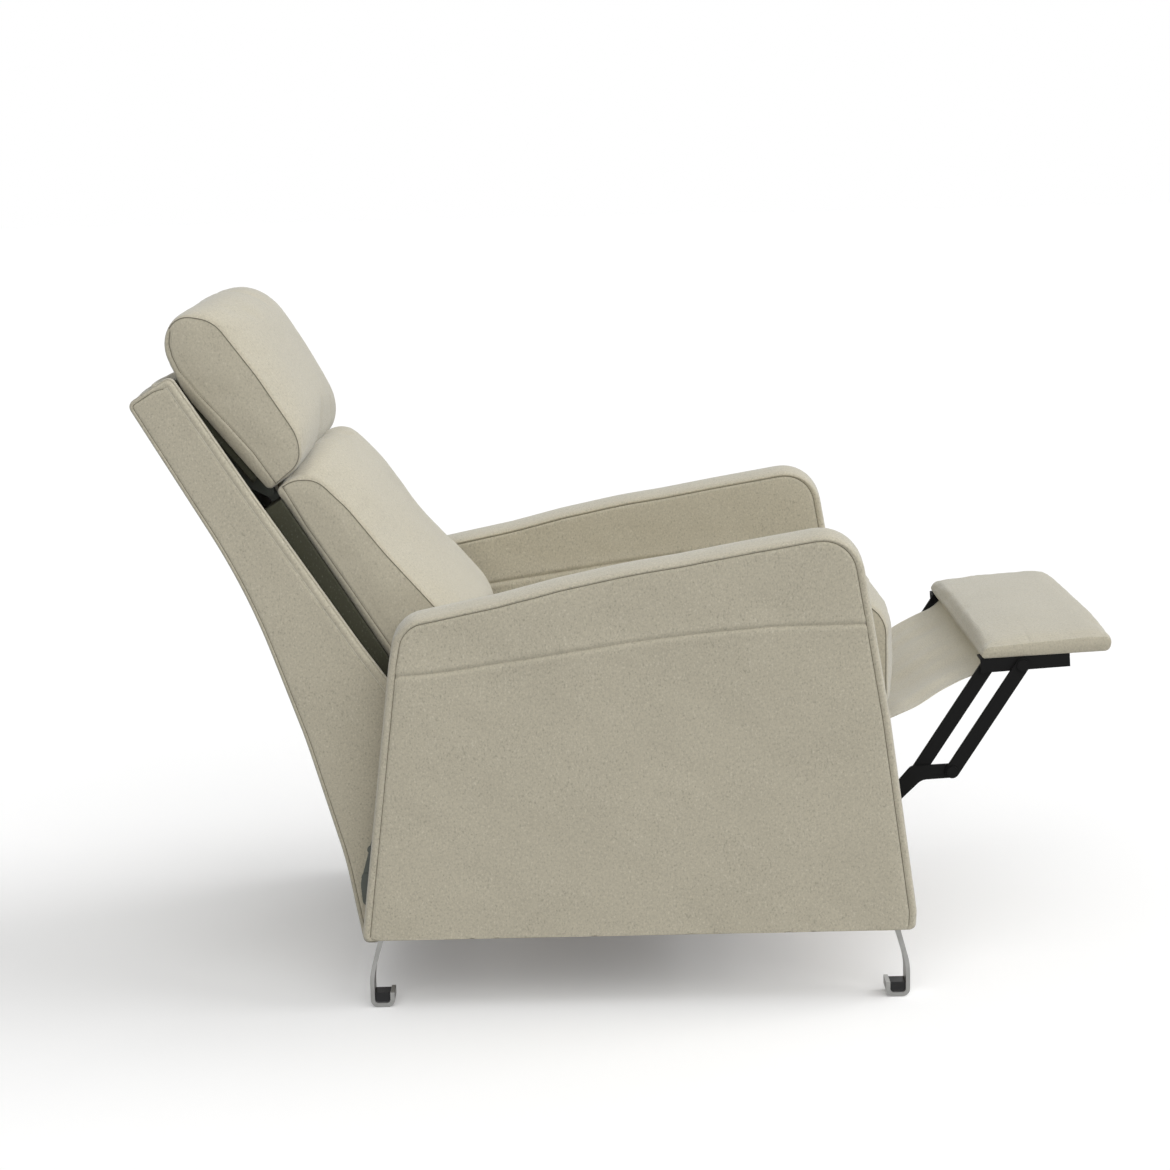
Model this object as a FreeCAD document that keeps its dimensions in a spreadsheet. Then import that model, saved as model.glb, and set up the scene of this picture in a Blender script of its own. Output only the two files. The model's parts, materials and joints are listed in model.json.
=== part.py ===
"""A push-back recliner, drawn reclined with its footrest out.

The chair faces +X, its left side is +Y, and Z is up from the floor. Lengths are in
millimetres and angles in degrees. Every piece is placed from the sizes in the sheet.
"""
import FreeCAD, Part
import math
import os
import Sketcher
from FreeCAD import Placement, Rotation, Vector

doc = FreeCAD.newDocument("recliner")
sheet = doc.addObject("Spreadsheet::Sheet", "sizes")

SIZES = (
    ("overall_width", 700, "outside of one side panel to the outside of the other"),
    ("panel_length", 778, "side panel along its bottom edge"),
    ("panel_bottom", 105, "underside of the side panels above the floor"),
    ("panel_height", 572, "side panel from its bottom edge to the peak of the arm"),
    ("panel_thick", 76, "side panel with its padding"),
    ("panel_round", 11, "soft edge round the side panel"),
    ("cross_rail_thick", 28, "wooden rails across the base"),
    ("cross_rail_deep", 70, "height of the wooden rails across the base"),
    ("front_rail_back", 165, "front base rail behind the front of the side panels"),
    ("rear_rail_ahead", 128, "rear base rail ahead of the rear of the side panels"),
    ("cross_rail_lift", 18, "base rails above the underside of the side panels"),
    ("foot_width", 32, "flat steel of each foot"),
    ("foot_thick", 6, "flat steel of each foot"),
    ("foot_inset", 24, "each foot in from the outside of its panel"),
    ("foot_end_gap", 24, "each foot in from the end of its panel"),
    ("foot_flange", 46, "part of the foot let into the panel"),
    ("foot_sweep", 17, "how far the leg of each foot bows outward"),
    ("foot_run", 34, "part of the foot that lies on the floor"),
    ("foot_bend", 11, "bends of the foot on its outer side"),
    ("glide_width", 24, "block in the bend of each foot"),
    ("glide_height", 14, "block in the bend of each foot"),
    ("hinge_height", 225, "back hinge above the underside of the side panels"),
    ("hinge_ahead", 130, "back hinge ahead of the rear of the side panels"),
    ("hinge_pin_radius", 5, "pins of the back hinge"),
    ("hinge_plate_radius", 17, "round end of the plates at the back hinge"),
    ("bracket_thick", 3, "steel plates that carry the back"),
    ("running_clearance", 0.06, "pin to hole, on the radius"),
    ("side_clearance", 0.5, "steel plate to steel plate, side by side"),
    ("soft_clearance", 0.6, "upholstery to what it rests against"),
    ("shell_gap", 8, "side panel to the wing of the back shell"),
    ("shell_height", 817, "back shell from its lower edge to its top"),
    ("shell_reach", 298, "how far the reclined shell leans behind its lower edge"),
    ("shell_drop", 31, "lower edge of the shell below the side panels"),
    ("shell_foot_back", 5, "lower edge of the shell behind the rear of the side panels"),
    ("wing_thick", 22, "padded wings of the back shell"),
    ("shell_wall", 24, "padded rear wall of the back shell"),
    ("shell_round", 5, "soft edges of the back shell"),
    ("back_lean", 31.8, "back cushion from the vertical, reclined"),
    ("back_foot_ahead", 102, "rear lower corner of the back cushion from the rear of the panels"),
    ("back_foot_height", 286, "rear lower corner of the back cushion above the panels' underside"),
    ("back_height", 396, "back cushion along its slope"),
    ("back_top_deep", 62, "back cushion at the top of its seam"),
    ("back_foot_deep", 108, "back cushion at its foot"),
    ("back_crown", 26, "swell of the back cushion"),
    ("cushion_gap", 6, "back cushion to the wing at each side"),
    ("head_lean", 39, "head cushion from the vertical, reclined"),
    ("head_height", 254, "head cushion along its slope"),
    ("head_deep", 97, "head cushion at its upper seam"),
    ("head_foot_deep", 85, "head cushion at its lower seam"),
    ("head_crown", 30, "swell of the head cushion"),
    ("head_lift", 7, "head cushion above the back cushion"),
    ("head_back", 9, "head cushion set back from the line of the back cushion"),
    ("stile_thick", 30, "wooden back frame, front to rear"),
    ("stile_width", 22, "wooden uprights of the back frame"),
    ("back_rail_high", 40, "wooden rails of the back frame"),
    ("webbing_thick", 2, "elastic webbing"),
    ("webbing_width", 50, "elastic webbing"),
    ("board_thick", 10, "plywood boards of the headrest and footrest"),
    ("headrest_arm_width", 26, "steel leaves of the headrest hinge"),
    ("headrest_arm_thick", 3, "steel leaves of the headrest hinge"),
    ("headrest_pin_radius", 4, "pins of the headrest hinge"),
    ("headrest_arm_in", 70, "headrest hinge in from the end of the cushion"),
    ("seat_rise", 9.5, "slope of the seat, up to the front"),
    ("seat_length", 563, "seat cushion along its underside"),
    ("seat_front_high", 170, "seat cushion at its front"),
    ("seat_rear_high", 48, "seat cushion at its rear edge, under the back"),
    ("seat_knee_high", 124, "seat cushion ahead of the back cushion"),
    ("seat_crown", 18, "swell of the seat cushion"),
    ("seat_gap", 14, "seat cushion to the side panel at each side"),
    ("seat_rail_gap", 31.5, "seat rails to the side panel, with the links between them"),
    ("seat_foot_ahead", 190, "rear lower corner of the seat cushion from the rear of the panels"),
    ("seat_foot_height", 204, "rear lower corner of the seat cushion above the panels' underside"),
    ("seat_rail_high", 60, "wooden rails of the seat frame"),
    ("seat_rail_thick", 24, "wooden rails of the seat frame"),
    ("track_rise", 15, "slope of the seat tracks, up to the front"),
    ("track_length", 226, "steel channel of each seat track"),
    ("track_high", 34, "steel channel of each seat track"),
    ("track_deep", 22, "steel channel of each seat track"),
    ("track_wall", 3, "steel of the seat tracks"),
    ("track_ahead", 450, "middle of each seat track from the rear of the panels"),
    ("track_height", 200, "middle of each seat track above the panels' underside"),
    ("glide_length", 40, "plastic blocks that run in the seat tracks"),
    ("glide_clearance", 0.3, "plastic block to the flanges of its track"),
    ("glide_ahead", 75, "front block ahead of the middle of the track"),
    ("glide_pitch", 90, "front block to rear block"),
    ("link_thick", 5, "steel links of the footrest"),
    ("link_width", 20, "steel links of the footrest"),
    ("link_pin_radius", 5, "pins of the footrest links"),
    ("pin_head_radius", 8, "heads of the pins"),
    ("pin_head_thick", 2.5, "heads of the pins"),
    ("crank_ahead", 712, "crank pivot from the rear of the panels"),
    ("crank_height", 120, "crank pivot above the panels' underside"),
    ("crank_reach", 79, "crank pivot forward to the first link"),
    ("crank_lift", 81, "crank pivot up to the first link"),
    ("link_pitch", 48, "first link to second link"),
    ("link_run", 98, "forward run of the links, footrest out"),
    ("link_lift", 152, "height of the links, footrest out"),
    ("crank_tube_radius", 8, "tube that joins the two cranks"),
    ("open_pivot_radius", 6.5, "hole at the pivot that the tree of joints leaves open"),
    ("footrest_rise", 3.3, "slope of the footrest, up to the front"),
    ("footrest_rail_length", 126, "steel angle under the footrest"),
    ("footrest_rail_high", 21, "steel angle under the footrest"),
    ("footrest_rail_flange", 30, "steel angle under the footrest"),
    ("footrest_rail_thick", 3, "steel angle under the footrest"),
    ("footrest_length", 186, "footrest pad front to rear"),
    ("footrest_gap", 18, "footrest pad to the side panel at each side"),
    ("footrest_thick", 25, "footrest pad at its seam"),
    ("footrest_crown", 13, "swell of the footrest pad"),
    ("footrest_behind", 12, "footrest pad behind its rear pivot"),
    ("apron_thick", 2.5, "cloth between seat and footrest"),
    ("apron_sag", 6, "hang of the cloth between seat and footrest"),
    ("bolt_radius", 3, "bolts"),
    ("bolt_head_radius", 6, "heads of the bolts"),
    ("bolt_head_thick", 2.2, "heads of the bolts"),
    ("overrun", 5, "how far a cutting shape passes what it cuts"),
)

for row, (alias, value, note) in enumerate(SIZES, start=1):
    sheet.set("A%d" % row, note)
    sheet.set("B%d" % row, str(value))
    sheet.setAlias("B%d" % row, alias)
doc.recompute()


def size(alias):
    """The value of one named size."""
    return float(sheet.get(alias))


# Places that several pieces share, worked out from the sizes

half_width = size("overall_width") / 2
panel_inside = half_width - size("panel_thick")
wing_outside = panel_inside - size("shell_gap")
wing_inside = wing_outside - size("wing_thick")
back_half = wing_inside - size("cushion_gap")
seat_half = panel_inside - size("seat_gap")
footrest_half = panel_inside - size("footrest_gap")
bottom = size("panel_bottom")

hinge = Vector(size("hinge_ahead"), 0, bottom + size("hinge_height"))
shell_foot = Vector(-size("shell_foot_back"), 0, bottom - size("shell_drop"))
back_foot = Vector(size("back_foot_ahead"), 0, bottom + size("back_foot_height"))
seat_foot = Vector(size("seat_foot_ahead"), 0, bottom + size("seat_foot_height"))
crank_pivot = Vector(size("crank_ahead"), 0, bottom + size("crank_height"))

back_turn = Rotation(Vector(0, 1, 0), -size("back_lean"))
head_turn = Rotation(Vector(0, 1, 0), -size("head_lean"))
seat_turn = Rotation(Vector(0, 1, 0), -size("seat_rise"))
track_turn = Rotation(Vector(0, 1, 0), -size("track_rise"))
footrest_turn = Rotation(Vector(0, 1, 0), -size("footrest_rise"))

head_foot = back_foot + back_turn.multVec(Vector(0, 0, size("back_height") + size("head_lift")))
head_foot -= head_turn.multVec(Vector(size("head_back"), 0, 0))
link_rear = crank_pivot + Vector(size("crank_reach"), 0, size("crank_lift"))
link_front = link_rear + footrest_turn.multVec(Vector(size("link_pitch"), 0, 0))
link_vector = Vector(size("link_run"), 0, size("link_lift"))
rest_rear = link_rear + link_vector
rest_front = link_front + link_vector

# The middle of the chair, from the rear of the reclined shell to the front of the footrest
pad_front_swell_share = 0.9
pad_front_ahead = size("footrest_length") - size("footrest_behind")
pad_front_ahead += pad_front_swell_share * size("footrest_crown")
pad_front = rest_rear + footrest_turn.multVec(Vector(pad_front_ahead, 0, 0))
middle = Vector((pad_front.x + shell_foot.x - size("shell_reach")) / 2, 0, 0)

# Planes of the flat pieces, out from the middle of the chair
link_plane = panel_inside - size("seat_rail_gap")
crank_plane = link_plane + size("link_thick") + size("side_clearance")
crank_outside = crank_plane + size("link_thick")
front_link_plane = crank_outside + size("side_clearance")
front_link_outside = front_link_plane + size("link_thick")

# Outlines

corner_limit_share = 0.48
same_place = 0.001


def rounded(corners):
    """Lines and arcs of a closed outline. Each corner is (across, up, radius)."""
    points = [Vector(corner[0], corner[1], 0) for corner in corners]
    entries = []
    exits = []
    middles = []
    for index, corner in enumerate(corners):
        here = points[index]
        back = points[index - 1] - here
        ahead = points[(index + 1) % len(points)] - here
        half_angle = back.getAngle(ahead) / 2
        longest = corner_limit_share * min(back.Length, ahead.Length)
        reach = min(corner[2] / math.tan(half_angle), longest)
        radius = reach * math.tan(half_angle)
        bisector = (back.normalize() + ahead.normalize()).normalize()
        centre = here + bisector * (radius / math.sin(half_angle))
        entries.append(here + back * reach)
        exits.append(here + ahead * reach)
        middles.append(centre - bisector * radius if radius > 0 else None)
    edges = []
    for index in range(len(points)):
        if middles[index] is not None:
            edges.append(Part.Arc(entries[index], middles[index], exits[index]))
        edges.append(Part.LineSegment(exits[index], entries[(index + 1) % len(points)]))
    return edges


def section(corners, across):
    """A closed wire in a plane across the chair, from corners (forward, up, radius)."""
    wire = Part.Wire([edge.toShape() for edge in rounded(corners)])
    wire.rotate(Vector(0, 0, 0), Vector(1, 0, 0), 90)
    wire.translate(Vector(0, across, 0))
    return wire


# Ways of making a piece

pieces = {}


def keep(label, thing, spot=None, turn=Rotation()):
    """Name a piece, and stand it at its place in the chair."""
    thing.Label = label
    if spot is not None:
        thing.Placement = Placement(spot - middle, turn)
    pieces[label] = thing
    return thing


def plane(body, role):
    """One of a body's own origin planes."""
    return next(item for item in body.Origin.OriginFeatures if item.Role == role)


def join_ends(sketch, index, following):
    """Tie the ends of two lines or arcs that meet."""
    for end in (1, 2):
        for start in (1, 2):
            apart = sketch.getPoint(index, end).distanceToPoint(sketch.getPoint(following, start))
            if apart < same_place:
                sketch.addConstraint(
                    Sketcher.Constraint("Coincident", index, end, following, start)
                )
                return


def outline_sketch(body, corners, role="XZ_Plane"):
    """A sketch of a rounded outline on one of its body's own planes."""
    sketch = body.newObject("Sketcher::SketchObject", "outline")
    sketch.AttachmentSupport = [(plane(body, role), "")]
    sketch.MapMode = "FlatFace"
    edges = rounded(corners)
    sketch.addGeometry(edges, False)
    for index in range(len(edges)):
        following = (index + 1) % len(edges)
        join_ends(sketch, index, following)
    return sketch


def pad(body, sketch, length):
    """Raise a sketch by a length of the sheet, half to each side of its plane."""
    feature = body.newObject("PartDesign::Pad", "pad")
    feature.Profile = sketch
    feature.SideType = "Symmetric"
    feature.setExpression("Length", length)
    doc.recompute()
    return feature


def cut(body, sketch, length):
    """Cut a sketch out over a length, half to each side of its plane."""
    before = body.Shape.Volume
    feature = body.newObject("PartDesign::Pocket", "pocket")
    feature.Profile = sketch
    feature.SideType = "Symmetric"
    feature.setExpression("Length", length)
    doc.recompute()
    assert body.Shape.Volume < before, "a pocket of %s cuts nothing" % body.Label
    return feature


def drill(body, spots, radius):
    """Round holes through a plate, across the chair, at places (forward, up) on its plane."""
    sketch = body.newObject("Sketcher::SketchObject", "holes")
    sketch.AttachmentSupport = [(plane(body, "XZ_Plane"), "")]
    sketch.MapMode = "FlatFace"
    for index, (forward, up) in enumerate(spots):
        hole_centre = Vector(forward, up, 0)
        sketch.addGeometry(Part.Circle(hole_centre, Vector(0, 0, 1), size("bolt_radius")), False)
        sketch.addConstraint(Sketcher.Constraint("Radius", index, size("bolt_radius")))
        sketch.setExpression("Constraints[%d]" % index, radius)
    cut(body, sketch, "sizes.overall_width")


def plate(label, corners, thick, spot, turn=Rotation(), holes=(), hole_radius=None):
    """A flat plate that stands along the chair, from its side outline."""
    body = doc.addObject("PartDesign::Body", label)
    body.Label = label
    pad(body, outline_sketch(body, corners), thick)
    if holes:
        drill(body, holes, hole_radius)
    return keep(label, body, spot, turn)


def soften(body, radius, wanted):
    """Round the edges of a body that the test picks."""
    names = [
        "Edge%d" % (index + 1)
        for index, edge in enumerate(body.Shape.Edges)
        if wanted(edge)
    ]
    solid = body.Tip
    feature = body.newObject("PartDesign::Fillet", "soft_edges")
    feature.Base = (solid, names)
    feature.setExpression("Radius", radius)
    doc.recompute()
    return feature


def on_side_face(across):
    """A test for edges that lie in one upright plane at a distance from the middle."""
    def wanted(edge):
        box = edge.BoundBox
        return box.YLength < same_place and abs(abs(box.Center.y) - across) < same_place
    return wanted


def block(label, length, width, height, spot, turn=Rotation()):
    """A box whose sides are formulas of the sheet, centred across the chair on its place."""
    box = doc.addObject("Part::Box", label)
    box.setExpression("Length", length)
    box.setExpression("Width", width)
    box.setExpression("Height", height)
    doc.recompute()
    centred = turn.multVec(Vector(0, box.Width.Value / 2, 0))
    return keep(label, box, spot - centred, turn)


def pin_solid(spot, inner, outer, radius, head_radius, head_thick, sign, heads="both"):
    """A pin across the chair between two distances from its middle, with its heads."""
    side = Vector(0, sign, 0)
    start = Vector(spot.x, 0, spot.z)
    pin = Part.makeCylinder(radius, outer - inner, start + side * inner, side)
    if heads in ("both", "inner"):
        pin = pin.fuse(Part.makeCylinder(head_radius, head_thick, start + side * inner, side * -1))
    if heads in ("both", "outer"):
        pin = pin.fuse(Part.makeCylinder(head_radius, head_thick, start + side * outer, side))
    return pin.removeSplitter()


def group(label, solids):
    """Separate solids of one kind, kept as one piece of the list."""
    feature = doc.addObject("Part::Feature", label)
    feature.Shape = Part.Compound(solids)
    return keep(label, feature, Vector(0, 0, 0))


# Places from the side of a cushion to its middle: how far out, how much swell, how much inset
cushion_shares = (
    (1.00, 0.00, 1.00),
    (0.98, 0.00, 0.20),
    (0.86, 0.34, 0.00),
    (0.58, 0.76, 0.00),
    (0.24, 0.97, 0.00),
)


def cushion(label, corners, reach, crown, drawn_in, spot, turn):
    """A crowned cushion. Corners are (forward, up, radius, forward swell, upward swell)."""
    centre_forward = sum(corner[0] for corner in corners) / len(corners)
    centre_up = sum(corner[1] for corner in corners) / len(corners)

    def wire(across, swell, inset):
        ring = []
        for forward, up, radius, forward_share, up_share in corners:
            forward_in = math.copysign(drawn_in * inset, forward - centre_forward)
            up_in = math.copysign(drawn_in * inset, up - centre_up)
            ring.append((
                forward + crown * swell * forward_share - forward_in,
                up + crown * swell * up_share - up_in,
                radius,
            ))
        return section(ring, across * reach)

    wires = [wire(-across, swell, inset) for across, swell, inset in cushion_shares]
    wires += [wire(across, swell, inset) for across, swell, inset in reversed(cushion_shares)]
    feature = doc.addObject("Part::Feature", label)
    feature.Shape = Part.makeLoft(wires, True, True)
    return keep(label, feature, spot, turn)


def shared(points, across_size, up_size):
    """Corners (across, up, radius) from shares of two sizes; radii follow the second."""
    return [(x * across_size, z * up_size, r * up_size) for x, z, r in points]


# Side panels, with a recess under each end for the flange of a foot

panel_outline_shares = (
    (0.000, 0.000, 0.023),
    (0.078, 0.820, 0.085),
    (0.492, 0.932, 1.900),
    (0.893, 1.008, 0.105),
    (0.952, 0.530, 0.900),
    (1.000, 0.045, 0.060),
    (0.998, 0.000, 0.023),
)
foot_knee_share = 0.45


def foot_corner(end):
    """Where the outermost face of a foot stands, at the rear (-1) or front (1) of a panel."""
    if end < 0:
        return size("foot_end_gap") - size("foot_sweep")
    return size("panel_length") - size("foot_end_gap") + size("foot_sweep")


def foot_slant():
    """How far the leg of a foot slants outward within the thickness of its flange."""
    rise = bottom + size("foot_thick") - foot_knee_share * bottom
    return size("foot_sweep") * size("foot_thick") / rise


def side_panel(side, sign):
    label = side + "_side_panel"
    body = doc.addObject("PartDesign::Body", label)
    body.Label = label
    corners = shared(panel_outline_shares, size("panel_length"), size("panel_height"))
    pad(body, outline_sketch(body, corners), "sizes.panel_thick")
    soften(body, "sizes.panel_round", on_side_face(size("panel_thick") / 2))
    foot_across = sign * (size("panel_thick") / 2 - size("foot_inset") - size("foot_width") / 2)
    for end in (-1, 1):
        start = foot_corner(end) - end * (size("foot_sweep") - foot_slant())
        stop = foot_corner(end) - end * (size("foot_sweep") + size("foot_flange"))
        recess = body.newObject("Sketcher::SketchObject", "recess")
        recess.AttachmentSupport = [(plane(body, "XY_Plane"), "")]
        recess.MapMode = "FlatFace"
        low = foot_across - size("foot_width") / 2
        high = foot_across + size("foot_width") / 2
        ring = [(start, low, 0), (stop, low, 0), (stop, high, 0), (start, high, 0)]
        recess.addGeometry(rounded(ring), False)
        feature = body.newObject("PartDesign::Pocket", "flange_recess")
        feature.Profile = recess
        feature.SideType = "Symmetric"
        feature.setExpression("Length", "2 * sizes.foot_thick")
        before = body.Shape.Volume
        doc.recompute()
        assert body.Shape.Volume < before, "the recess for a foot cuts nothing"
    spot = Vector(0, sign * (half_width - size("panel_thick") / 2), bottom)
    return keep(label, body, spot)


# Feet: flat steel let into the panel, bowed outward, turned in along the floor and up again

foot_hook_share = 1.10


def foot(end_name, side, end, sign):
    thick = size("foot_thick")
    sweep = size("foot_sweep")
    run = size("foot_run")
    bend = size("foot_bend")
    inner = bend - thick
    knee = foot_knee_share * bottom
    hook = thick + foot_hook_share * size("glide_height")
    corners = [
        (sweep, bottom + thick, bend),
        (sweep + size("foot_flange"), bottom + thick, 0),
        (sweep + size("foot_flange"), bottom, 0),
        (sweep + thick, bottom, inner),
        (thick, knee, bottom),
        (thick, thick, inner),
        (run - thick, thick, inner),
        (run - thick, hook, 0),
        (run, hook, 0),
        (run, 0, bend),
        (0, 0, bend),
        (0, knee, bottom),
    ]
    corners = [(-end * x, z, r) for x, z, r in corners]
    across = sign * (half_width - size("foot_inset") - size("foot_width") / 2)
    spot = Vector(foot_corner(end), across, 0)
    plate(end_name + "_" + side + "_foot", corners, "sizes.foot_width", spot)


def foot_glides():
    """A block in the bend of each foot, all four kept together."""
    thick = size("foot_thick")
    inner = size("foot_bend") - thick
    stop = size("foot_run") - thick
    high = thick + size("glide_height")
    blocks = []
    for side in (-1, 1):
        across = side * (half_width - size("foot_inset") - size("foot_width") / 2)
        for end in (-1, 1):
            ring = [(thick, thick, inner), (stop, thick, inner), (stop, high, 0), (thick, high, 0)]
            ring = [(foot_corner(end) - end * x, z, r) for x, z, r in ring]
            face = Part.Face(section(ring, across - size("glide_width") / 2))
            blocks.append(face.extrude(Vector(0, size("glide_width"), 0)))
    group("foot_glides", blocks)


# Base: two wooden rails between the panels, a steel channel on each panel for the seat to run in

def base_rail(label, ahead):
    spot = Vector(ahead, 0, bottom + size("cross_rail_lift"))
    block(
        label,
        "sizes.cross_rail_thick",
        "sizes.overall_width - 2 * sizes.panel_thick",
        "sizes.cross_rail_deep",
        spot,
    )


def seat_track(side, sign):
    label = side + "_seat_track"
    body = doc.addObject("PartDesign::Body", label)
    body.Label = label
    deep = size("track_deep")
    high = size("track_high") / 2
    wall = size("track_wall")
    corners = [
        (0, -high, 0),
        (-sign * deep, -high, 0),
        (-sign * deep, -high + wall, 0),
        (-sign * wall, -high + wall, 0),
        (-sign * wall, high - wall, 0),
        (-sign * deep, high - wall, 0),
        (-sign * deep, high, 0),
        (0, high, 0),
    ]
    sketch = outline_sketch(body, corners, "YZ_Plane")
    pad(body, sketch, "sizes.track_length")
    spot = Vector(size("track_ahead"), sign * panel_inside, bottom + size("track_height"))
    keep(label, body, spot, track_turn)


# Back hinge: a plate and pin on each panel, and a long bracket bolted to each wing

bracket_shares = (
    (-1.030, -0.880, 0.060),
    (-1.050, -0.730, 0.300),
    (-0.885, -0.400, 0.300),
    (-0.130, 0.075, 0.130),
    (0.130, 0.075, 0.130),
    (0.130, -0.075, 0.130),
    (-0.600, -0.480, 0.400),
    (-0.780, -0.880, 0.080),
)
bracket_bolt_shares = ((-0.915, -0.51), (-0.990, -0.69), (-0.860, -0.80))
pivot_plate_share = 2.6


def back_bracket_across():
    """Middle of the bracket's thickness, against the outside of the wing."""
    return wing_outside + size("bracket_thick") / 2


def back_hinge(side, sign):
    reach = size("hinge_ahead")
    drop = size("hinge_height")
    corners = [(x * reach, z * drop, r * reach) for x, z, r in bracket_shares]
    across = sign * back_bracket_across()
    spot = hinge + Vector(0, across, 0)
    plate(
        side + "_back_bracket", corners, "sizes.bracket_thick", spot,
        holes=[(0, 0)], hole_radius="sizes.hinge_pin_radius + sizes.running_clearance",
    )
    reach = pivot_plate_share * size("hinge_plate_radius")
    rim = size("hinge_plate_radius")
    corners = [(-rim, -reach, rim / 2), (rim, -reach, rim / 2), (rim, rim, rim), (-rim, rim, rim)]
    across = sign * (panel_inside - size("bracket_thick") / 2)
    plate(
        side + "_back_pivot_plate", corners, "sizes.bracket_thick", hinge + Vector(0, across, 0),
        holes=[(0, 0)], hole_radius="sizes.hinge_pin_radius",
    )


def both_sides(spot, inner, outer, radius, head_radius, heads="both"):
    """The same pin on the right and on the left."""
    head_thick = size("pin_head_thick")
    return [
        pin_solid(spot, inner, outer, radius, head_radius, head_thick, sign, heads)
        for sign in (-1, 1)
    ]


def back_hinge_pins():
    group("back_hinge_pins", both_sides(
        hinge,
        wing_outside - size("side_clearance"),
        panel_inside,
        size("hinge_pin_radius"),
        size("pin_head_radius"),
        heads="inner",
    ))


def bracket_bolts():
    bolts = []
    face = wing_outside + size("bracket_thick")
    for sign in (-1, 1):
        side = Vector(0, sign, 0)
        for x, z in bracket_bolt_shares:
            spot = hinge + Vector(x * size("hinge_ahead"), 0, z * size("hinge_height"))
            start = spot + side * face
            bolts.append(Part.makeCylinder(
                size("bolt_head_radius"), size("bolt_head_thick"), start, side,
            ))
    group("back_bracket_bolts", bolts)


# Back: a padded shell open to the front, with a wooden frame, webbing and a cushion in it

shell_outline_shares = (
    (0.000, 0.000, 0.010),
    (-0.073, 0.153, 0.700),
    (-0.241, 0.371, 0.900),
    (-0.489, 0.636, 1.200),
    (-1.000, 0.958, 0.012),
    (-0.795, 1.004, 0.012),
    (-0.436, 0.797, 1.500),
    (0.032, 0.536, 1.200),
    (0.192, 0.453, 0.500),
    (0.291, 0.389, 0.060),
    (0.293, 0.310, 0.080),
    (0.090, 0.000, 0.030),
)
shell_rear_corners = 5
wall_slant_share = 1.1


def back_shell():
    body = doc.addObject("PartDesign::Body", "back_shell")
    corners = shared(shell_outline_shares, size("shell_reach"), size("shell_height"))
    body.Label = "back_shell"
    width = "sizes.overall_width - 2 * sizes.panel_thick - 2 * sizes.shell_gap"
    pad(body, outline_sketch(body, corners), width)
    soften(body, "sizes.shell_round", on_side_face(wing_outside))
    wall = size("shell_wall") * wall_slant_share
    height = size("shell_height") + size("shell_wall")
    inner = [(x + wall, z, r) for x, z, r in corners[:shell_rear_corners]]
    inner[0] = (wall, -size("overrun"), 0)
    inner[-1] = (wall - size("shell_reach"), inner[-1][1], size("shell_wall"))
    inner.append((wall - size("shell_reach"), height, 0))
    inner.append((size("hinge_ahead"), height, 0))
    inner.append((size("hinge_ahead"), -size("overrun"), 0))
    cut(body, outline_sketch(body, inner), width + " - 2 * sizes.wing_thick")
    keep("back_shell", body, shell_foot)


def in_back(forward, up):
    """A place in the chair from one along the back cushion's own slope."""
    return back_foot + back_turn.multVec(Vector(forward, 0, up))


back_frame_start_share = 0.10
back_frame_stop_share = 0.86
back_strap_shares = (0.20, 0.36, 0.52, 0.68, 0.84)


def back_frame():
    thick = size("stile_thick") + size("webbing_thick")
    low = back_frame_start_share * size("back_height")
    high = back_frame_stop_share * size("back_height")
    wings = "sizes.overall_width - 2 * sizes.panel_thick - 2 * sizes.shell_gap - 2 * sizes.wing_thick"
    for name, foot_up in (("bottom", low - size("back_rail_high")), ("top", high)):
        block(
            "back_" + name + "_rail", "sizes.stile_thick", wings, "sizes.back_rail_high",
            in_back(-thick, foot_up), back_turn,
        )
    for side, sign in (("right", -1), ("left", 1)):
        spot = in_back(-thick, low) + Vector(0, sign * (back_half - size("stile_width")), 0)
        run = "sizes.back_height * %s" % (back_frame_stop_share - back_frame_start_share)
        block(
            side + "_back_stile", "sizes.stile_thick", "sizes.stile_width", run, spot, back_turn,
        )
    straps = []
    reach = back_half - size("stile_width") / 2
    for share in back_strap_shares:
        strap = Part.makeBox(
            size("webbing_thick"), 2 * reach, size("webbing_width"),
            Vector(-size("webbing_thick"), -reach, share * size("back_height") - size("webbing_width") / 2),
        )
        strap.Placement = Placement(back_foot - middle, back_turn).multiply(strap.Placement)
        straps.append(strap)
    feature = doc.addObject("Part::Feature", "back_webbing")
    feature.Shape = Part.Compound(straps)
    keep("back_webbing", feature)


rear_round_share = 0.20
upper_round_share = 0.55
lower_round_share = 1.60
foot_slope_share = 0.16
foot_cut_share = 0.80
back_top_swell_share = 0.70
back_foot_swell_share = 0.30


def back_cushion():
    high = size("back_height")
    top = size("back_top_deep")
    foot_deep = size("back_foot_deep")
    rear = size("soft_clearance")
    corners = [
        (rear, 0, rear_round_share * top, 0, 0),
        (rear, high, rear_round_share * top, 0, 0),
        (top, high, upper_round_share * top, back_top_swell_share, 0),
        (foot_deep, foot_slope_share * high, lower_round_share * top, 1, 0),
        (foot_cut_share * foot_deep, 0, upper_round_share * top, back_foot_swell_share, 0),
    ]
    cushion(
        "back_cushion", corners, back_half, size("back_crown"), size("panel_round") / 2,
        back_foot, back_turn,
    )


head_round_share = 0.40
head_foot_round_share = 0.60
head_rear_lift_share = 0.30
head_top_lift_share = 0.65
head_top_swell_share = 0.90
head_foot_swell_share = 0.45


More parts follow.
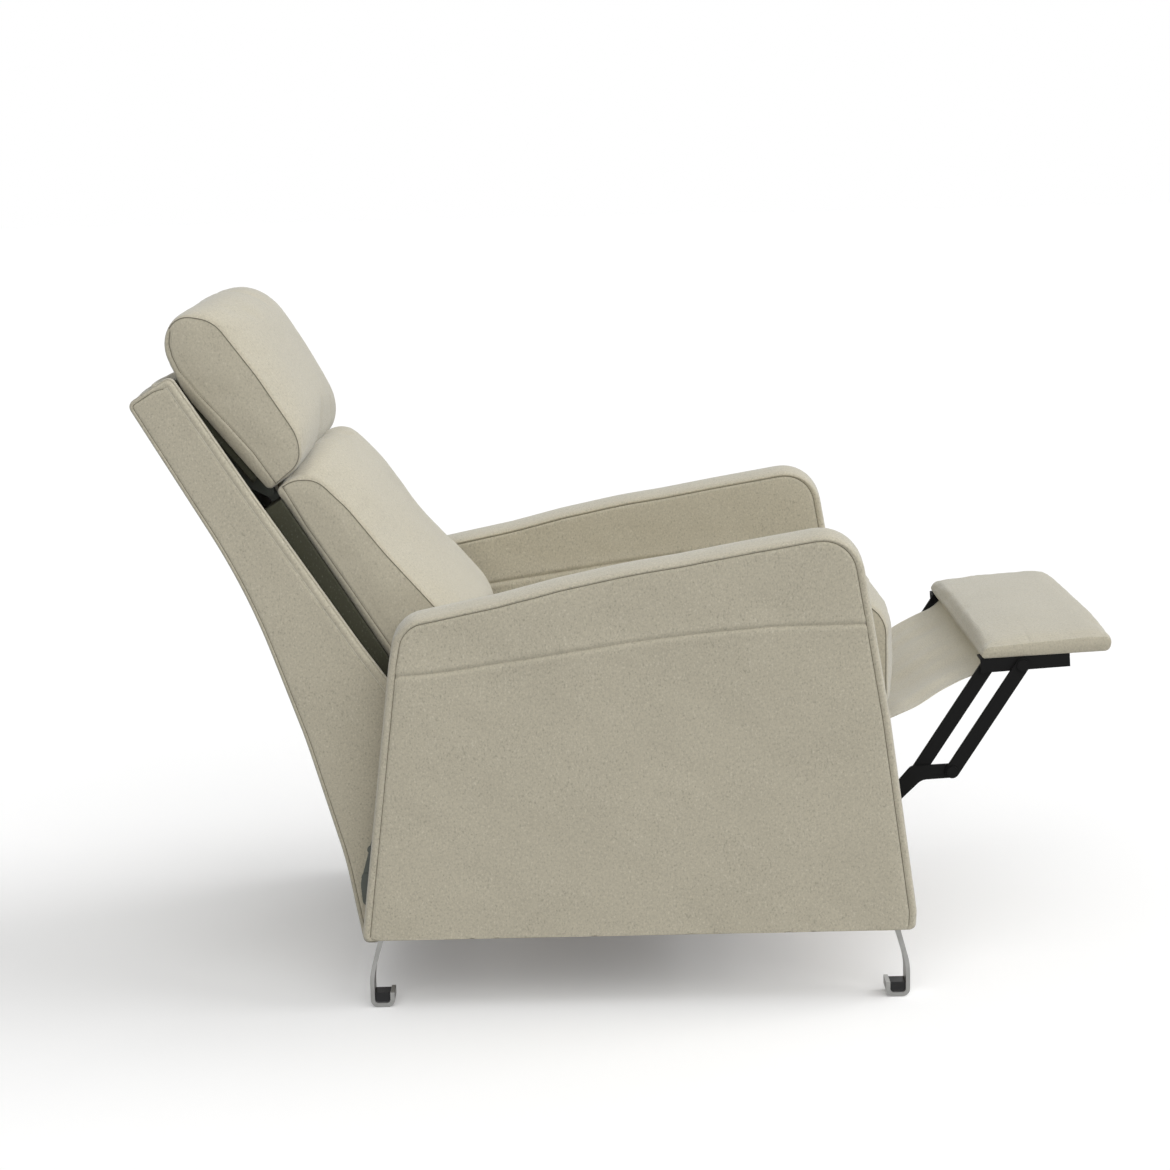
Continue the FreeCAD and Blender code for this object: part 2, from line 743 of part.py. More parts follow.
def head_cushion():
    high = size("head_height")
    deep = size("head_deep")
    corners = [
        (size("soft_clearance"), 0, rear_round_share * deep / 2, 0, 0),
        (size("soft_clearance"), high, upper_round_share * deep, 0, head_rear_lift_share),
        (deep, high, head_round_share * deep, head_top_swell_share, head_top_lift_share),
        (size("head_foot_deep"), 0, head_foot_round_share * deep, head_foot_swell_share, 0),
    ]
    cushion(
        "head_cushion", corners, back_half, size("head_crown"), size("panel_round") / 2,
        head_foot, head_turn,
    )


head_board_start_share = 0.10
head_board_stop_share = 0.72
head_board_width_share = 0.80
headrest_pivot_up_share = -0.01
headrest_arm_share = 0.42
headrest_rim_share = 0.27
headrest_shoulder_share = 0.8


def in_head(forward, up):
    """A place in the chair from one along the head cushion's own slope."""
    return head_foot + head_turn.multVec(Vector(forward, 0, up))


def headrest_pivot():
    """The axis of the headrest hinge, behind the joint between the two cushions."""
    return in_head(-size("board_thick"), headrest_pivot_up_share * size("head_height"))


def headrest():
    start = in_head(-size("board_thick"), head_board_start_share * size("head_height"))
    block(
        "headrest_board", "sizes.board_thick",
        "%s * (sizes.overall_width - 2 * sizes.panel_thick)" % head_board_width_share,
        "sizes.head_height * %s" % (head_board_stop_share - head_board_start_share),
        start, head_turn,
    )


def headrest_hinges():
    """A leaf on the headrest board and a leaf on the top rail, side by side on one pin."""
    pivot = headrest_pivot()
    rim = headrest_rim_share * size("headrest_arm_width")
    deep = size("headrest_arm_width") - rim
    arm = headrest_arm_share * size("head_height")
    shoulder = headrest_shoulder_share * size("headrest_arm_width")
    thick = size("headrest_arm_thick")
    gap = size("side_clearance")
    hole = "sizes.headrest_pin_radius + sizes.running_clearance"
    above_rail = back_turn.inverted().multVec(pivot - back_foot).z
    above_rail -= back_frame_stop_share * size("back_height") + size("back_rail_high")
    pins = []
    for side, sign in (("right", -1), ("left", 1)):
        across = sign * (back_half - size("headrest_arm_in"))
        upper = [
            (-rim, -rim, rim), (rim, -rim, rim), (rim, rim, rim), (0, shoulder, rim),
            (0, arm, 0), (-deep, arm, 0), (-deep, shoulder, rim),
        ]
        plate(
            side + "_headrest_leaf", upper, "sizes.headrest_arm_thick",
            pivot + Vector(0, across, 0), head_turn, holes=[(0, 0)], hole_radius=hole,
        )
        lower = [(-rim, -above_rail, 0), (rim, -above_rail, 0), (rim, rim, rim), (-rim, rim, rim)]
        plate(
            side + "_headrest_bracket", lower, "sizes.headrest_arm_thick",
            pivot + Vector(0, across - sign * (thick + gap), 0), back_turn,
            holes=[(0, 0)], hole_radius="sizes.headrest_pin_radius",
        )
        inner = abs(across) - thick - gap - thick / 2
        outer = abs(across) + thick / 2 + gap
        pins.append(pin_solid(
            pivot, inner, outer, size("headrest_pin_radius"),
            rim, size("pin_head_thick"), sign,
        ))
    group("headrest_hinge_pins", pins)


flap_thick_share = 0.35
flap_reach_share = 0.77


def shell_flap():
    """The padded flap that closes the top of the shell, up to the head cushion."""
    rear_top = shell_outline_shares[shell_rear_corners - 1]
    front_top = shell_outline_shares[shell_rear_corners]
    rise = (front_top[1] - rear_top[1]) * size("shell_height")
    run = (front_top[0] - rear_top[0]) * size("shell_reach")
    wall = size("shell_wall") * wall_slant_share + size("soft_clearance")
    turn = Rotation(Vector(0, 1, 0), -math.degrees(math.atan2(rise, run)))
    start = shell_foot + Vector(
        rear_top[0] * size("shell_reach") + wall,
        0,
        rear_top[1] * size("shell_height") + wall * rise / run,
    )
    length = (flap_reach_share * run - wall) * math.hypot(1, rise / run) - size("soft_clearance")
    thick = flap_thick_share * size("shell_wall")
    corners = [(0, -thick, 0), (length, -thick, thick / 2), (length, 0, thick / 2), (0, 0, 0)]
    width = "sizes.overall_width - 2 * sizes.panel_thick - 2 * sizes.shell_gap - 2 * sizes.wing_thick"
    plate("shell_top_flap", corners, width, start, turn)


# Seat: a wooden frame with webbing and a cushion, on plastic blocks that run in the tracks

seat_knee_share = 0.345
seat_front_lean_share = 1.05
seat_rail_start_share = 0.018
seat_rail_stop_share = 0.968
seat_strap_shares = (0.14, 0.27, 0.40, 0.53, 0.66, 0.79, 0.90)


def in_seat(forward, up):
    """A place in the chair from one along the slope of the seat."""
    return seat_foot + seat_turn.multVec(Vector(forward, 0, up))


def seat_frame():
    thick = size("seat_rail_thick")
    start = seat_rail_start_share * size("seat_length")
    stop = seat_rail_stop_share * size("seat_length")
    top = -size("soft_clearance") - size("webbing_thick")
    low = top - size("seat_rail_high")
    run = "sizes.seat_length * %s" % (seat_rail_stop_share - seat_rail_start_share)
    for side, sign in (("right", -1), ("left", 1)):
        spot = in_seat(start, low) + Vector(0, sign * (link_plane - thick / 2), 0)
        block(
            side + "_seat_rail", run, "sizes.seat_rail_thick", "sizes.seat_rail_high",
            spot, seat_turn,
        )
    between = "sizes.overall_width - 2 * sizes.panel_thick - 2 * sizes.seat_rail_gap"
    between += " - 2 * sizes.seat_rail_thick"
    for name, ahead in (("rear", start), ("front", stop - thick)):
        block(
            name + "_seat_rail", "sizes.seat_rail_thick", between, "sizes.seat_rail_high",
            in_seat(ahead, low), seat_turn,
        )
    straps = []
    reach = link_plane
    for share in seat_strap_shares:
        strap = Part.makeBox(
            size("webbing_width"), 2 * reach, size("webbing_thick"),
            Vector(share * size("seat_length") - size("webbing_width") / 2, -reach, top),
        )
        strap.Placement = Placement(seat_foot - middle, seat_turn).multiply(strap.Placement)
        straps.append(strap)
    feature = doc.addObject("Part::Feature", "seat_webbing")
    feature.Shape = Part.Compound(straps)
    keep("seat_webbing", feature)


seat_front_round_share = 0.28
seat_lower_round_share = 0.14
seat_rear_lift_share = 0.10
seat_knee_lift_share = 0.80


def seat_cushion():
    length = size("seat_length")
    high = size("seat_front_high")
    corners = [
        (0, 0, size("seat_rear_high") / 2, 0, 0),
        (0, size("seat_rear_high"), size("seat_rear_high") / 2, 0, seat_rear_lift_share),
        (seat_knee_share * length, size("seat_knee_high"), size("seat_knee_high"), 0, seat_knee_lift_share),
        (seat_front_lean_share * length, high, seat_front_round_share * high, 1, 1),
        (length, 0, seat_lower_round_share * high, 1, 0),
    ]
    cushion(
        "seat_cushion", corners, seat_half, size("seat_crown"), size("panel_round") / 2,
        seat_foot, seat_turn,
    )


def seat_glides():
    """Two plastic blocks at each side, from the seat rail into the track."""
    track = Placement(Vector(size("track_ahead"), 0, bottom + size("track_height")) - middle, track_turn)
    high = size("track_high") - 2 * size("track_wall") - 2 * size("glide_clearance")
    deep = size("seat_rail_gap") - size("track_wall") - size("glide_clearance")
    for side, sign in (("right", -1), ("left", 1)):
        blocks = []
        for ahead in (size("glide_ahead"), size("glide_ahead") - size("glide_pitch")):
            across = link_plane if sign > 0 else -link_plane - deep
            glide = Part.makeBox(
                size("glide_length"), deep, high,
                Vector(ahead - size("glide_length") / 2, across, -high / 2),
            )
            glide.Placement = track.multiply(glide.Placement)
            blocks.append(glide)
        feature = doc.addObject("Part::Feature", side + "_seat_glides")
        feature.Shape = Part.Compound(blocks)
        keep(side + "_seat_glides", feature)


# Footrest linkage: a crank on the seat at each side, and two links from each crank to a rail

link_turn = Rotation(Vector(0, 1, 0), -math.degrees(math.atan2(link_vector.z, link_vector.x)))
crank_width_share = 0.5
crank_tube_share = 0.44
hanger_width_share = 0.9


def footrest_hangers():
    """Steel plates on the seat rails that carry the cranks."""
    half = hanger_width_share * size("link_width")
    seat_under = in_seat(0, -size("soft_clearance") - size("webbing_thick"))
    slope = math.tan(math.radians(size("seat_rise")))
    rear_top = seat_under.z + (crank_pivot.x - half - seat_under.x) * slope - crank_pivot.z
    front_top = rear_top + 2 * half * slope
    corners = [(-half, -half, half), (half, -half, half), (half, front_top, 0), (-half, rear_top, 0)]
    for side, sign in (("right", -1), ("left", 1)):
        across = sign * (link_plane + size("link_thick") / 2)
        plate(
            side + "_footrest_hanger", corners, "sizes.link_thick",
            crank_pivot + Vector(0, across, 0),
            holes=[(0, 0)], hole_radius="sizes.link_pin_radius",
        )
    group("crank_pivot_pins", both_sides(
        crank_pivot, link_plane, crank_outside + size("side_clearance"),
        size("link_pin_radius"), size("pin_head_radius"),
    ))


def cranks():
    """Bent flat bars from the pivot on the seat up to both links, joined by a tube."""
    half = crank_width_share * size("link_width")
    elbow = link_rear - crank_pivot
    tip = link_front - crank_pivot
    corners = [
        (-half, 0, half),
        (0, -half, half),
        (elbow.x + half / 2, elbow.z - half, size("link_width")),
        (tip.x + half, tip.z - half, half),
        (tip.x + half, tip.z + half, half),
        (elbow.x - half, elbow.z + half, half),
    ]
    running = "sizes.link_pin_radius + sizes.running_clearance"
    for side, sign in (("right", -1), ("left", 1)):
        across = sign * (crank_plane + size("link_thick") / 2)
        crank = plate(
            side + "_crank", corners, "sizes.link_thick", crank_pivot + Vector(0, across, 0),
            holes=[(0, 0)], hole_radius=running,
        )
        drill(crank, [(elbow.x, elbow.z), (tip.x, tip.z)], "sizes.link_pin_radius")
    tube = doc.addObject("Part::Cylinder", "crank_tube")
    tube.setExpression("Radius", "sizes.crank_tube_radius")
    tube.Height = 2 * crank_plane
    turn = Rotation(Vector(1, 0, 0), -90)
    spot = crank_pivot + elbow * crank_tube_share - Vector(0, crank_plane, 0)
    keep("crank_tube", tube, spot, turn)
    radius = size("link_pin_radius")
    rim = size("pin_head_radius")
    gap = size("side_clearance")
    pins = both_sides(link_rear, link_plane - gap, crank_outside, radius, rim, heads="inner")
    pins += both_sides(
        link_front, crank_plane, front_link_outside + gap, radius, rim, heads="outer",
    )
    group("crank_link_pins", pins)


def link(label, spot, across, upper_hole):
    """A straight link with round ends and a hole at each end."""
    body = doc.addObject("PartDesign::Body", label)
    body.Label = label
    sketch = body.newObject("Sketcher::SketchObject", "outline")
    sketch.AttachmentSupport = [(plane(body, "XZ_Plane"), "")]
    sketch.MapMode = "FlatFace"
    length = link_vector.Length
    end = size("link_width") / 2
    up = Vector(0, 0, 1)
    quarter = math.pi / 2
    sketch.addGeometry([
        Part.ArcOfCircle(Part.Circle(Vector(0, 0, 0), up, end), quarter, 3 * quarter),
        Part.LineSegment(Vector(0, -end, 0), Vector(length, -end, 0)),
        Part.ArcOfCircle(Part.Circle(Vector(length, 0, 0), up, end), -quarter, quarter),
        Part.LineSegment(Vector(length, end, 0), Vector(0, end, 0)),
    ], False)
    for index in range(4):
        sketch.addConstraint(Sketcher.Constraint("Tangent", index, 2, (index + 1) % 4, 1))
    sketch.addConstraint(Sketcher.Constraint("Coincident", 0, 3, -1, 1))
    sketch.addConstraint(Sketcher.Constraint("PointOnObject", 2, 3, -1))
    run = sketch.addConstraint(Sketcher.Constraint("Distance", 0, 3, 2, 3, length))
    sketch.setExpression("Constraints[%d]" % run, "sqrt(pow(sizes.link_run; 2) + pow(sizes.link_lift; 2))")
    rim = sketch.addConstraint(Sketcher.Constraint("Radius", 0, end))
    sketch.setExpression("Constraints[%d]" % rim, "sizes.link_width / 2")
    pad(body, sketch, "sizes.link_thick")
    drill(body, [(0, 0)], "sizes.link_pin_radius + sizes.running_clearance")
    drill(body, [(length, 0)], upper_hole)
    keep(label, body, spot + Vector(0, across, 0), link_turn)


def footrest_links():
    running = "sizes.link_pin_radius + sizes.running_clearance"
    half = size("link_thick") / 2
    for side, sign in (("right", -1), ("left", 1)):
        link(side + "_rear_link", link_rear, sign * (link_plane + half), running)
        link(
            side + "_front_link", link_front, sign * (front_link_plane + half),
            "sizes.open_pivot_radius",
        )


# Footrest: steel angles, a board and a pad

footrest_board_start_share = 0.10
footrest_board_stop_share = 0.92
footrest_board_width_share = 0.90
rail_below_share = 0.357
rail_behind_share = 0.08


def in_footrest(forward, up):
    """A place in the chair from one along the slope of the footrest, from its rear pivot."""
    return rest_rear + footrest_turn.multVec(Vector(forward, 0, up))


def footrest_under():
    """Height of the top of the rails above the pivots."""
    return (1 - rail_below_share) * size("footrest_rail_high")


def footrest_rails():
    thick = size("footrest_rail_thick")
    top = footrest_under()
    low = -rail_below_share * size("footrest_rail_high")
    length = size("footrest_rail_length")
    ahead = length / 2 - rail_behind_share * length
    for side, sign in (("right", -1), ("left", 1)):
        label = side + "_footrest_rail"
        body = doc.addObject("PartDesign::Body", label)
        body.Label = label
        flange = size("footrest_rail_flange")
        corners = [
            (0, low, 0),
            (0, top, 0),
            (-sign * flange, top, 0),
            (-sign * flange, top - thick, 0),
            (-sign * thick, top - thick, 0),
            (-sign * thick, low, 0),
        ]
        pad(body, outline_sketch(body, corners, "YZ_Plane"), "sizes.footrest_rail_length")
        pivots = [(-ahead, 0), (size("link_pitch") - ahead, 0)]
        drill(body, pivots, "sizes.link_pin_radius")
        spot = in_footrest(ahead, 0) + Vector(0, sign * crank_outside, 0)
        keep(label, body, spot, footrest_turn)
    radius = size("link_pin_radius")
    rim = size("pin_head_radius")
    gap = size("side_clearance")
    pins = both_sides(rest_rear, link_plane - gap, crank_outside, radius, rim, heads="inner")
    pins += both_sides(
        rest_front, crank_outside - thick, front_link_outside + gap, radius, rim, heads="outer",
    )
    group("footrest_link_pins", pins)


pad_round_share = 0.45
pad_rear_round_share = 0.20
pad_lift_share = 0.60
pad_low_swell_share = 0.50


def footrest():
    start = -size("footrest_behind")
    length = size("footrest_length")
    low = footrest_under()
    high = low + size("footrest_thick")
    reach = footrest_half
    width = "2 * (sizes.overall_width / 2 - sizes.panel_thick - sizes.footrest_gap)"
    board_start = start + footrest_board_start_share * length
    block(
        "footrest_board",
        "sizes.footrest_length * %s" % (footrest_board_stop_share - footrest_board_start_share),
        width + " * %s" % footrest_board_width_share,
        "sizes.board_thick",
        in_footrest(board_start, low),
        footrest_turn,
    )
    edge = pad_round_share * size("footrest_thick")
    corners = [
        (start, low, pad_rear_round_share * edge, 0, 0),
        (start, high, edge, 0, pad_lift_share),
        (start + length, high, edge, pad_front_swell_share, pad_lift_share),
        (start + length, low, edge, pad_low_swell_share, 0),
    ]
    cushion_piece = cushion(
        "footrest_upholstery", corners, reach, size("footrest_crown"), size("panel_round") / 4,
        rest_rear, footrest_turn,
    )
    hollow = doc.addObject("Part::Cut", "footrest_pad")
    hollow.Base = cushion_piece
    hollow.Tool = pieces["footrest_board"]
    doc.recompute()
    del pieces["footrest_upholstery"]
    keep("footrest_pad", hollow)


# Cloth between the seat and the footrest

apron_width_share = 0.92
apron_seat_down_share = 0.30
apron_front_clear_share = 0.04
apron_front_up_share = 0.5


def apron():
    thick = size("apron_thick")
    start = in_seat(
        seat_rail_stop_share * size("seat_length") + size("side_clearance"),
        -apron_seat_down_share * size("seat_rail_high"),
    )
    front_end = -size("footrest_behind") - apron_front_clear_share * size("footrest_crown")
    front_up = footrest_under() + apron_front_up_share * size("footrest_thick")
    stop = in_footrest(front_end, front_up)
    stop_low = in_footrest(front_end, front_up - thick)
    run = stop - start
    run_up = Vector(-run.z, 0, run.x).normalize()
    half_way = start + run / 2 - run_up * size("apron_sag")
    reach = apron_width_share * footrest_half
    upper = Part.Arc(start, half_way, stop).toShape()
    lower = Part.Arc(
        start - run_up * thick, half_way - run_up * thick, stop_low,
    ).toShape()
    front = Part.LineSegment(stop, stop_low).toShape()
    rear = Part.LineSegment(start - run_up * thick, start).toShape()
    face = Part.Face(Part.Wire(Part.__sortEdges__([upper, front, lower, rear])))
    face.translate(Vector(0, -reach, 0))
    feature = doc.addObject("Part::Feature", "footrest_apron")
    feature.Shape = face.extrude(Vector(0, 2 * reach, 0))
    keep("footrest_apron", feature, Vector(0, 0, 0))


# The whole chair

for side, sign in (("right", -1), ("left", 1)):
    side_panel(side, sign)
    for end_name, end in (("rear", -1), ("front", 1)):
        foot(end_name, side, end, sign)
    seat_track(side, sign)
    back_hinge(side, sign)
base_rail("rear_base_rail", size("rear_rail_ahead"))
base_rail(
    "front_base_rail",
    size("panel_length") - size("front_rail_back") - size("cross_rail_thick"),
)
back_hinge_pins()
bracket_bolts()
foot_glides()
back_shell()
shell_flap()
back_frame()
back_cushion()
head_cushion()
headrest()
headrest_hinges()
seat_frame()
seat_cushion()
seat_glides()
footrest_hangers()
cranks()
footrest_links()
footrest_rails()
footrest()
apron()
doc.recompute()

for item in doc.Objects:
    assert "Invalid" not in item.State and "Error" not in item.State, item.Label
for label, item in pieces.items():
    shape = item.Shape
    assert not shape.isNull() and shape.isValid(), label

os.makedirs("parts", exist_ok=True)
for label, item in pieces.items():
    item.Shape.exportStep("parts/%s.step" % label)

box = Part.Compound([item.Shape for item in pieces.values()]).optimalBoundingBox(False)
print("pieces", len(pieces))
print("box", [round(edge, 1) for edge in (box.XMin, box.XMax, box.YMin, box.YMax, box.ZMin, box.ZMax)])
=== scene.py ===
import json
import math

import bmesh
import bpy
import numpy as np
from mathutils import Matrix, Vector
from mathutils.geometry import delaunay_2d_cdt
from mathutils.kdtree import KDTree


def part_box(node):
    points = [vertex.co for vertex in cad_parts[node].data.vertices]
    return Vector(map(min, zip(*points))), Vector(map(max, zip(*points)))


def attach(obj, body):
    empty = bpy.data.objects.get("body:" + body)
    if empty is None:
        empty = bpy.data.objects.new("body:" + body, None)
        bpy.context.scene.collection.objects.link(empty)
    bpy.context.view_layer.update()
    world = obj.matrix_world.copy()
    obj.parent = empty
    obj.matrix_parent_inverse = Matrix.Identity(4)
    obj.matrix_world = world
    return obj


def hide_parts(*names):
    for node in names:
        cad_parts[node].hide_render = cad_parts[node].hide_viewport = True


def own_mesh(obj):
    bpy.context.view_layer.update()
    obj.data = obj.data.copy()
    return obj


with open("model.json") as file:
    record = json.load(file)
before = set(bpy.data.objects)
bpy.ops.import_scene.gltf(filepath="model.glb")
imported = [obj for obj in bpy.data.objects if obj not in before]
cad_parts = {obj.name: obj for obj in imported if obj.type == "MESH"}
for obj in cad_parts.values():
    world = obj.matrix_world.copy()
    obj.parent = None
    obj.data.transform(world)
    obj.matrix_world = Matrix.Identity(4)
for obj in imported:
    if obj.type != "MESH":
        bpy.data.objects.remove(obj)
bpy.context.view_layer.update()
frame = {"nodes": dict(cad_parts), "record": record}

# Sizes are in millimetres from the rear of the side panels, and become metres in the frame
MIDDLE = 385.696
scene = bpy.context.scene


def metres(points):
    """Points of the chair in millimetres as points of the frame."""
    placed = np.array(points, float).reshape(-1, 3)
    placed[:, 0] -= MIDDLE
    return placed / 1000


# Colour and light

def linear(*rgb):
    """A colour given as 0 to 255, as the shader wants it."""
    parts = [c / 255 for c in rgb]
    return tuple(
        c / 12.92 if c <= 0.04045 else ((c + 0.055) / 1.055) ** 2.4 for c in parts
    ) + (1,)


def new_material(name):
    material = bpy.data.materials.new(name)
    material.use_nodes = True
    tree = material.node_tree
    shader = tree.nodes["Principled BSDF"]
    return material, tree, shader


def node(tree, kind, **values):
    made = tree.nodes.new(kind)
    for key, value in values.items():
        if key.startswith("in_"):
            made.inputs[key[3:].replace("_", " ")].default_value = value
        else:
            setattr(made, key, value)
    return made


def ramp(tree, source, stops):
    made = tree.nodes.new("ShaderNodeValToRGB")
    elements = made.color_ramp.elements
    while len(elements) < len(stops):
        elements.new(0.5)
    for element, (place, colour) in zip(elements, stops):
        element.position = place
        element.color = colour
    tree.links.new(source, made.inputs["Fac"])
    return made.outputs["Color"]


def grey(value):
    return (value, value, value, 1)


def connect(tree, value, socket):
    """Gives a socket its value, which is another node's output, a number or a colour."""
    if hasattr(value, "links"):
        tree.links.new(value, socket)
    else:
        socket.default_value = value


def mixed(tree, factor, first, second, kind="MIX"):
    made = tree.nodes.new("ShaderNodeMix")
    made.data_type = "RGBA"
    made.blend_type = kind
    for socket, value in ((0, factor), (6, first), (7, second)):
        connect(tree, value, made.inputs[socket])
    return made.outputs[2]


def maths(tree, operation, first, second):
    made = node(tree, "ShaderNodeMath", operation=operation)
    connect(tree, first, made.inputs[0])
    connect(tree, second, made.inputs[1])
    return made.outputs[0]


def summed(tree, *sources):
    """The weighted sum of several values, as (value, weight) pairs."""
    total = 0.0
    for value, weight in sources:
        total = maths(tree, "ADD", total, maths(tree, "MULTIPLY", value, weight))
    return total


def places(tree, scale=(1, 1, 1)):
    """Places on the piece, each direction scaled."""
    mapping = node(tree, "ShaderNodeMapping", in_Scale=scale)
    tree.links.new(node(tree, "ShaderNodeTexCoord").outputs["Object"], mapping.inputs["Vector"])
    return mapping.outputs[0]


def noise(tree, place, **values):
    made = node(tree, "ShaderNodeTexNoise", **values)
    tree.links.new(place, made.inputs["Vector"])
    return made.outputs["Fac"]


def relief(tree, shader, height, strength, distance):
    bump = node(tree, "ShaderNodeBump", in_Strength=strength, in_Distance=distance)
    tree.links.new(height, bump.inputs["Height"])
    tree.links.new(bump.outputs[0], shader.inputs["Normal"])


def fabric(name, colour, fleck=1.0, sheen=0.42):
    """Plain-woven upholstery cloth: mixed yarns with light and dark flecks, and a fine weave."""
    material, tree, shader = new_material(name)
    place = places(tree)
    yarns = places(tree, (1.0, 1.0, 0.6))
    tones = noise(tree, place, in_Scale=380.0, in_Detail=4.0, in_Roughness=0.7)
    patches = noise(tree, place, in_Scale=9.0, in_Detail=2.0)
    specks = noise(tree, yarns, in_Scale=430.0, in_Detail=1.0, in_Roughness=0.4)
    dark = tuple(c * (1 - 0.13 * fleck) for c in colour[:3]) + (1,)
    light = tuple(min(1, c * (1 + 0.10 * fleck)) for c in colour[:3]) + (1,)
    base = ramp(tree, tones, ((0.32, dark), (0.5, colour), (0.68, light)))
    broad = ramp(tree, patches, ((0.3, grey(0.965)), (0.7, grey(1.0))))
    base = mixed(tree, 1.0, base, broad, "MULTIPLY")
    dark_specks = ramp(tree, specks, ((0.60, grey(1.0)), (0.72, grey(0.80))))
    base = mixed(tree, fleck, base, dark_specks, "MULTIPLY")
    light_specks = ramp(tree, specks, ((0.28, grey(0.07)), (0.38, grey(0.0))))
    base = mixed(tree, fleck, base, light_specks, "ADD")
    tree.links.new(base, shader.inputs["Base Color"])
    heights = [(tones, 0.6)]
    for direction in ("X", "Y", "Z"):
        wave = node(
            tree, "ShaderNodeTexWave", bands_direction=direction, in_Scale=230.0, in_Distortion=1.2,
            in_Detail=1.0,
        )
        tree.links.new(place, wave.inputs["Vector"])
        heights.append((wave.outputs["Fac"], 0.5))
    relief(tree, shader, summed(tree, *heights), 0.35, 0.0006)
    shader.inputs["Roughness"].default_value = 0.92
    shader.inputs["Specular IOR Level"].default_value = 0.25
    shader.inputs["Sheen Weight"].default_value = sheen
    shader.inputs["Sheen Roughness"].default_value = 0.5
    shader.inputs["Sheen Tint"].default_value = (0.86, 0.92, 1.0, 1)
    return material


def metal(name, colour, rough, metallic, scratch=0.06, bump_scale=700.0, bump_depth=0.00008,
          shine=0.5):
    """Steel or moulded plastic: a little uneven in colour and gloss, with fine marks."""
    material, tree, shader = new_material(name)
    clouds = noise(tree, places(tree), in_Scale=38.0, in_Detail=5.0)
    grain = noise(tree, places(tree), in_Scale=bump_scale, in_Detail=2.0)
    low = tuple(c * (1 - scratch * 1.6) for c in colour[:3]) + (1,)
    high = tuple(min(1, c * (1 + scratch)) for c in colour[:3]) + (1,)
    base = ramp(tree, clouds, ((0.3, low), (0.7, high)))
    tree.links.new(base, shader.inputs["Base Color"])
    gloss = ramp(tree, clouds, ((0.3, grey(rough * 0.85)), (0.7, grey(rough * 1.15))))
    tree.links.new(gloss, shader.inputs["Roughness"])
    relief(tree, shader, grain, 0.5, bump_depth)
    shader.inputs["Metallic"].default_value = metallic
    shader.inputs["Specular IOR Level"].default_value = shine
    return material


def wooden(name, light, dark, stretch, rings):
    """Sawn wood or plywood: long grain with darker streaks."""
    material, tree, shader = new_material(name)
    long_grain = places(tree, stretch)
    streaks = noise(tree, long_grain, in_Scale=rings, in_Detail=6.0, in_Distortion=0.6)
    fine = noise(tree, long_grain, in_Scale=rings * 7, in_Detail=3.0)
    base = ramp(tree, streaks, ((0.3, dark), (0.55, light), (0.75, dark)))
    shade = ramp(tree, fine, ((0.35, grey(0.86)), (0.6, grey(1.0))))
    tree.links.new(mixed(tree, 1.0, base, shade, "MULTIPLY"), shader.inputs["Base Color"])
    relief(tree, shader, fine, 0.4, 0.0003)
    shader.inputs["Roughness"].default_value = 0.7
    return material


CLOTH = linear(194, 187, 167)
MATERIALS = {
    "panel_upholstery": fabric("panel_upholstery_cloth", CLOTH),
    "shell_upholstery": fabric("shell_upholstery_cloth", CLOTH),
    "cushion": fabric("cushion_cloth", CLOTH, 0.8),
    "apron_cloth": fabric("apron_cloth_weave", linear(212, 206, 188), 0.8),
    # Stitching thread, darker than the cloth; its darkness is painted shade at the bottom of the
    # seam grooves
    "seam": fabric("seam_thread_groove_shade", linear(130, 124, 107), 0.4),
    # Light thread along a wing's front edge: its colour is a painted highlight on the ridge of the
    # seam
    "front_highlight": fabric("front_highlight_cloth", linear(214, 209, 192), 0.4),
    # Near-black lining: the darkness is painted shade in the gaps between the wings and the
    # cushions
    "lining": fabric("lining_cloth_painted_shade", linear(66, 66, 53), 0.5, 0.0),
    "webbing": fabric("webbing_weave", linear(58, 58, 56), 1.0),
    "plywood": wooden("plywood_grain", linear(205, 174, 130), linear(178, 144, 100), (1, 9, 9), 16),
    "wood": wooden("sawn_wood_grain", linear(206, 176, 132), linear(172, 138, 96), (6, 1, 6), 14),
    "black_plastic": metal(
        "black_plastic_moulded", linear(26, 26, 27), 0.45, 0.0, 0.05, 900.0, 0.00005,
    ),
    "foot_steel": metal("foot_steel_satin", linear(196, 196, 193), 0.34, 0.85),
    "black_steel": metal("black_steel_coat", linear(9, 9, 9), 0.6, 0.0, 0.10, 1300.0, 0.00006, 0.2),
    "grey_steel": metal("grey_steel_zinc", linear(104, 108, 102), 0.42, 0.75),
}

# The solids that no soft piece stands for wear the same materials
slots = {part["node"]: part["material_slot"] for part in frame["record"]["subparts"]}
for name, thing in frame["nodes"].items():
    for material_slot in thing.material_slots:
        material_slot.material = MATERIALS[slots[name]]


# Outlines

# How much of the shorter line beside it an arc may take up, and its least length in millimetres
ARC_LIMIT = 0.48
SMALLEST_REACH = 0.05


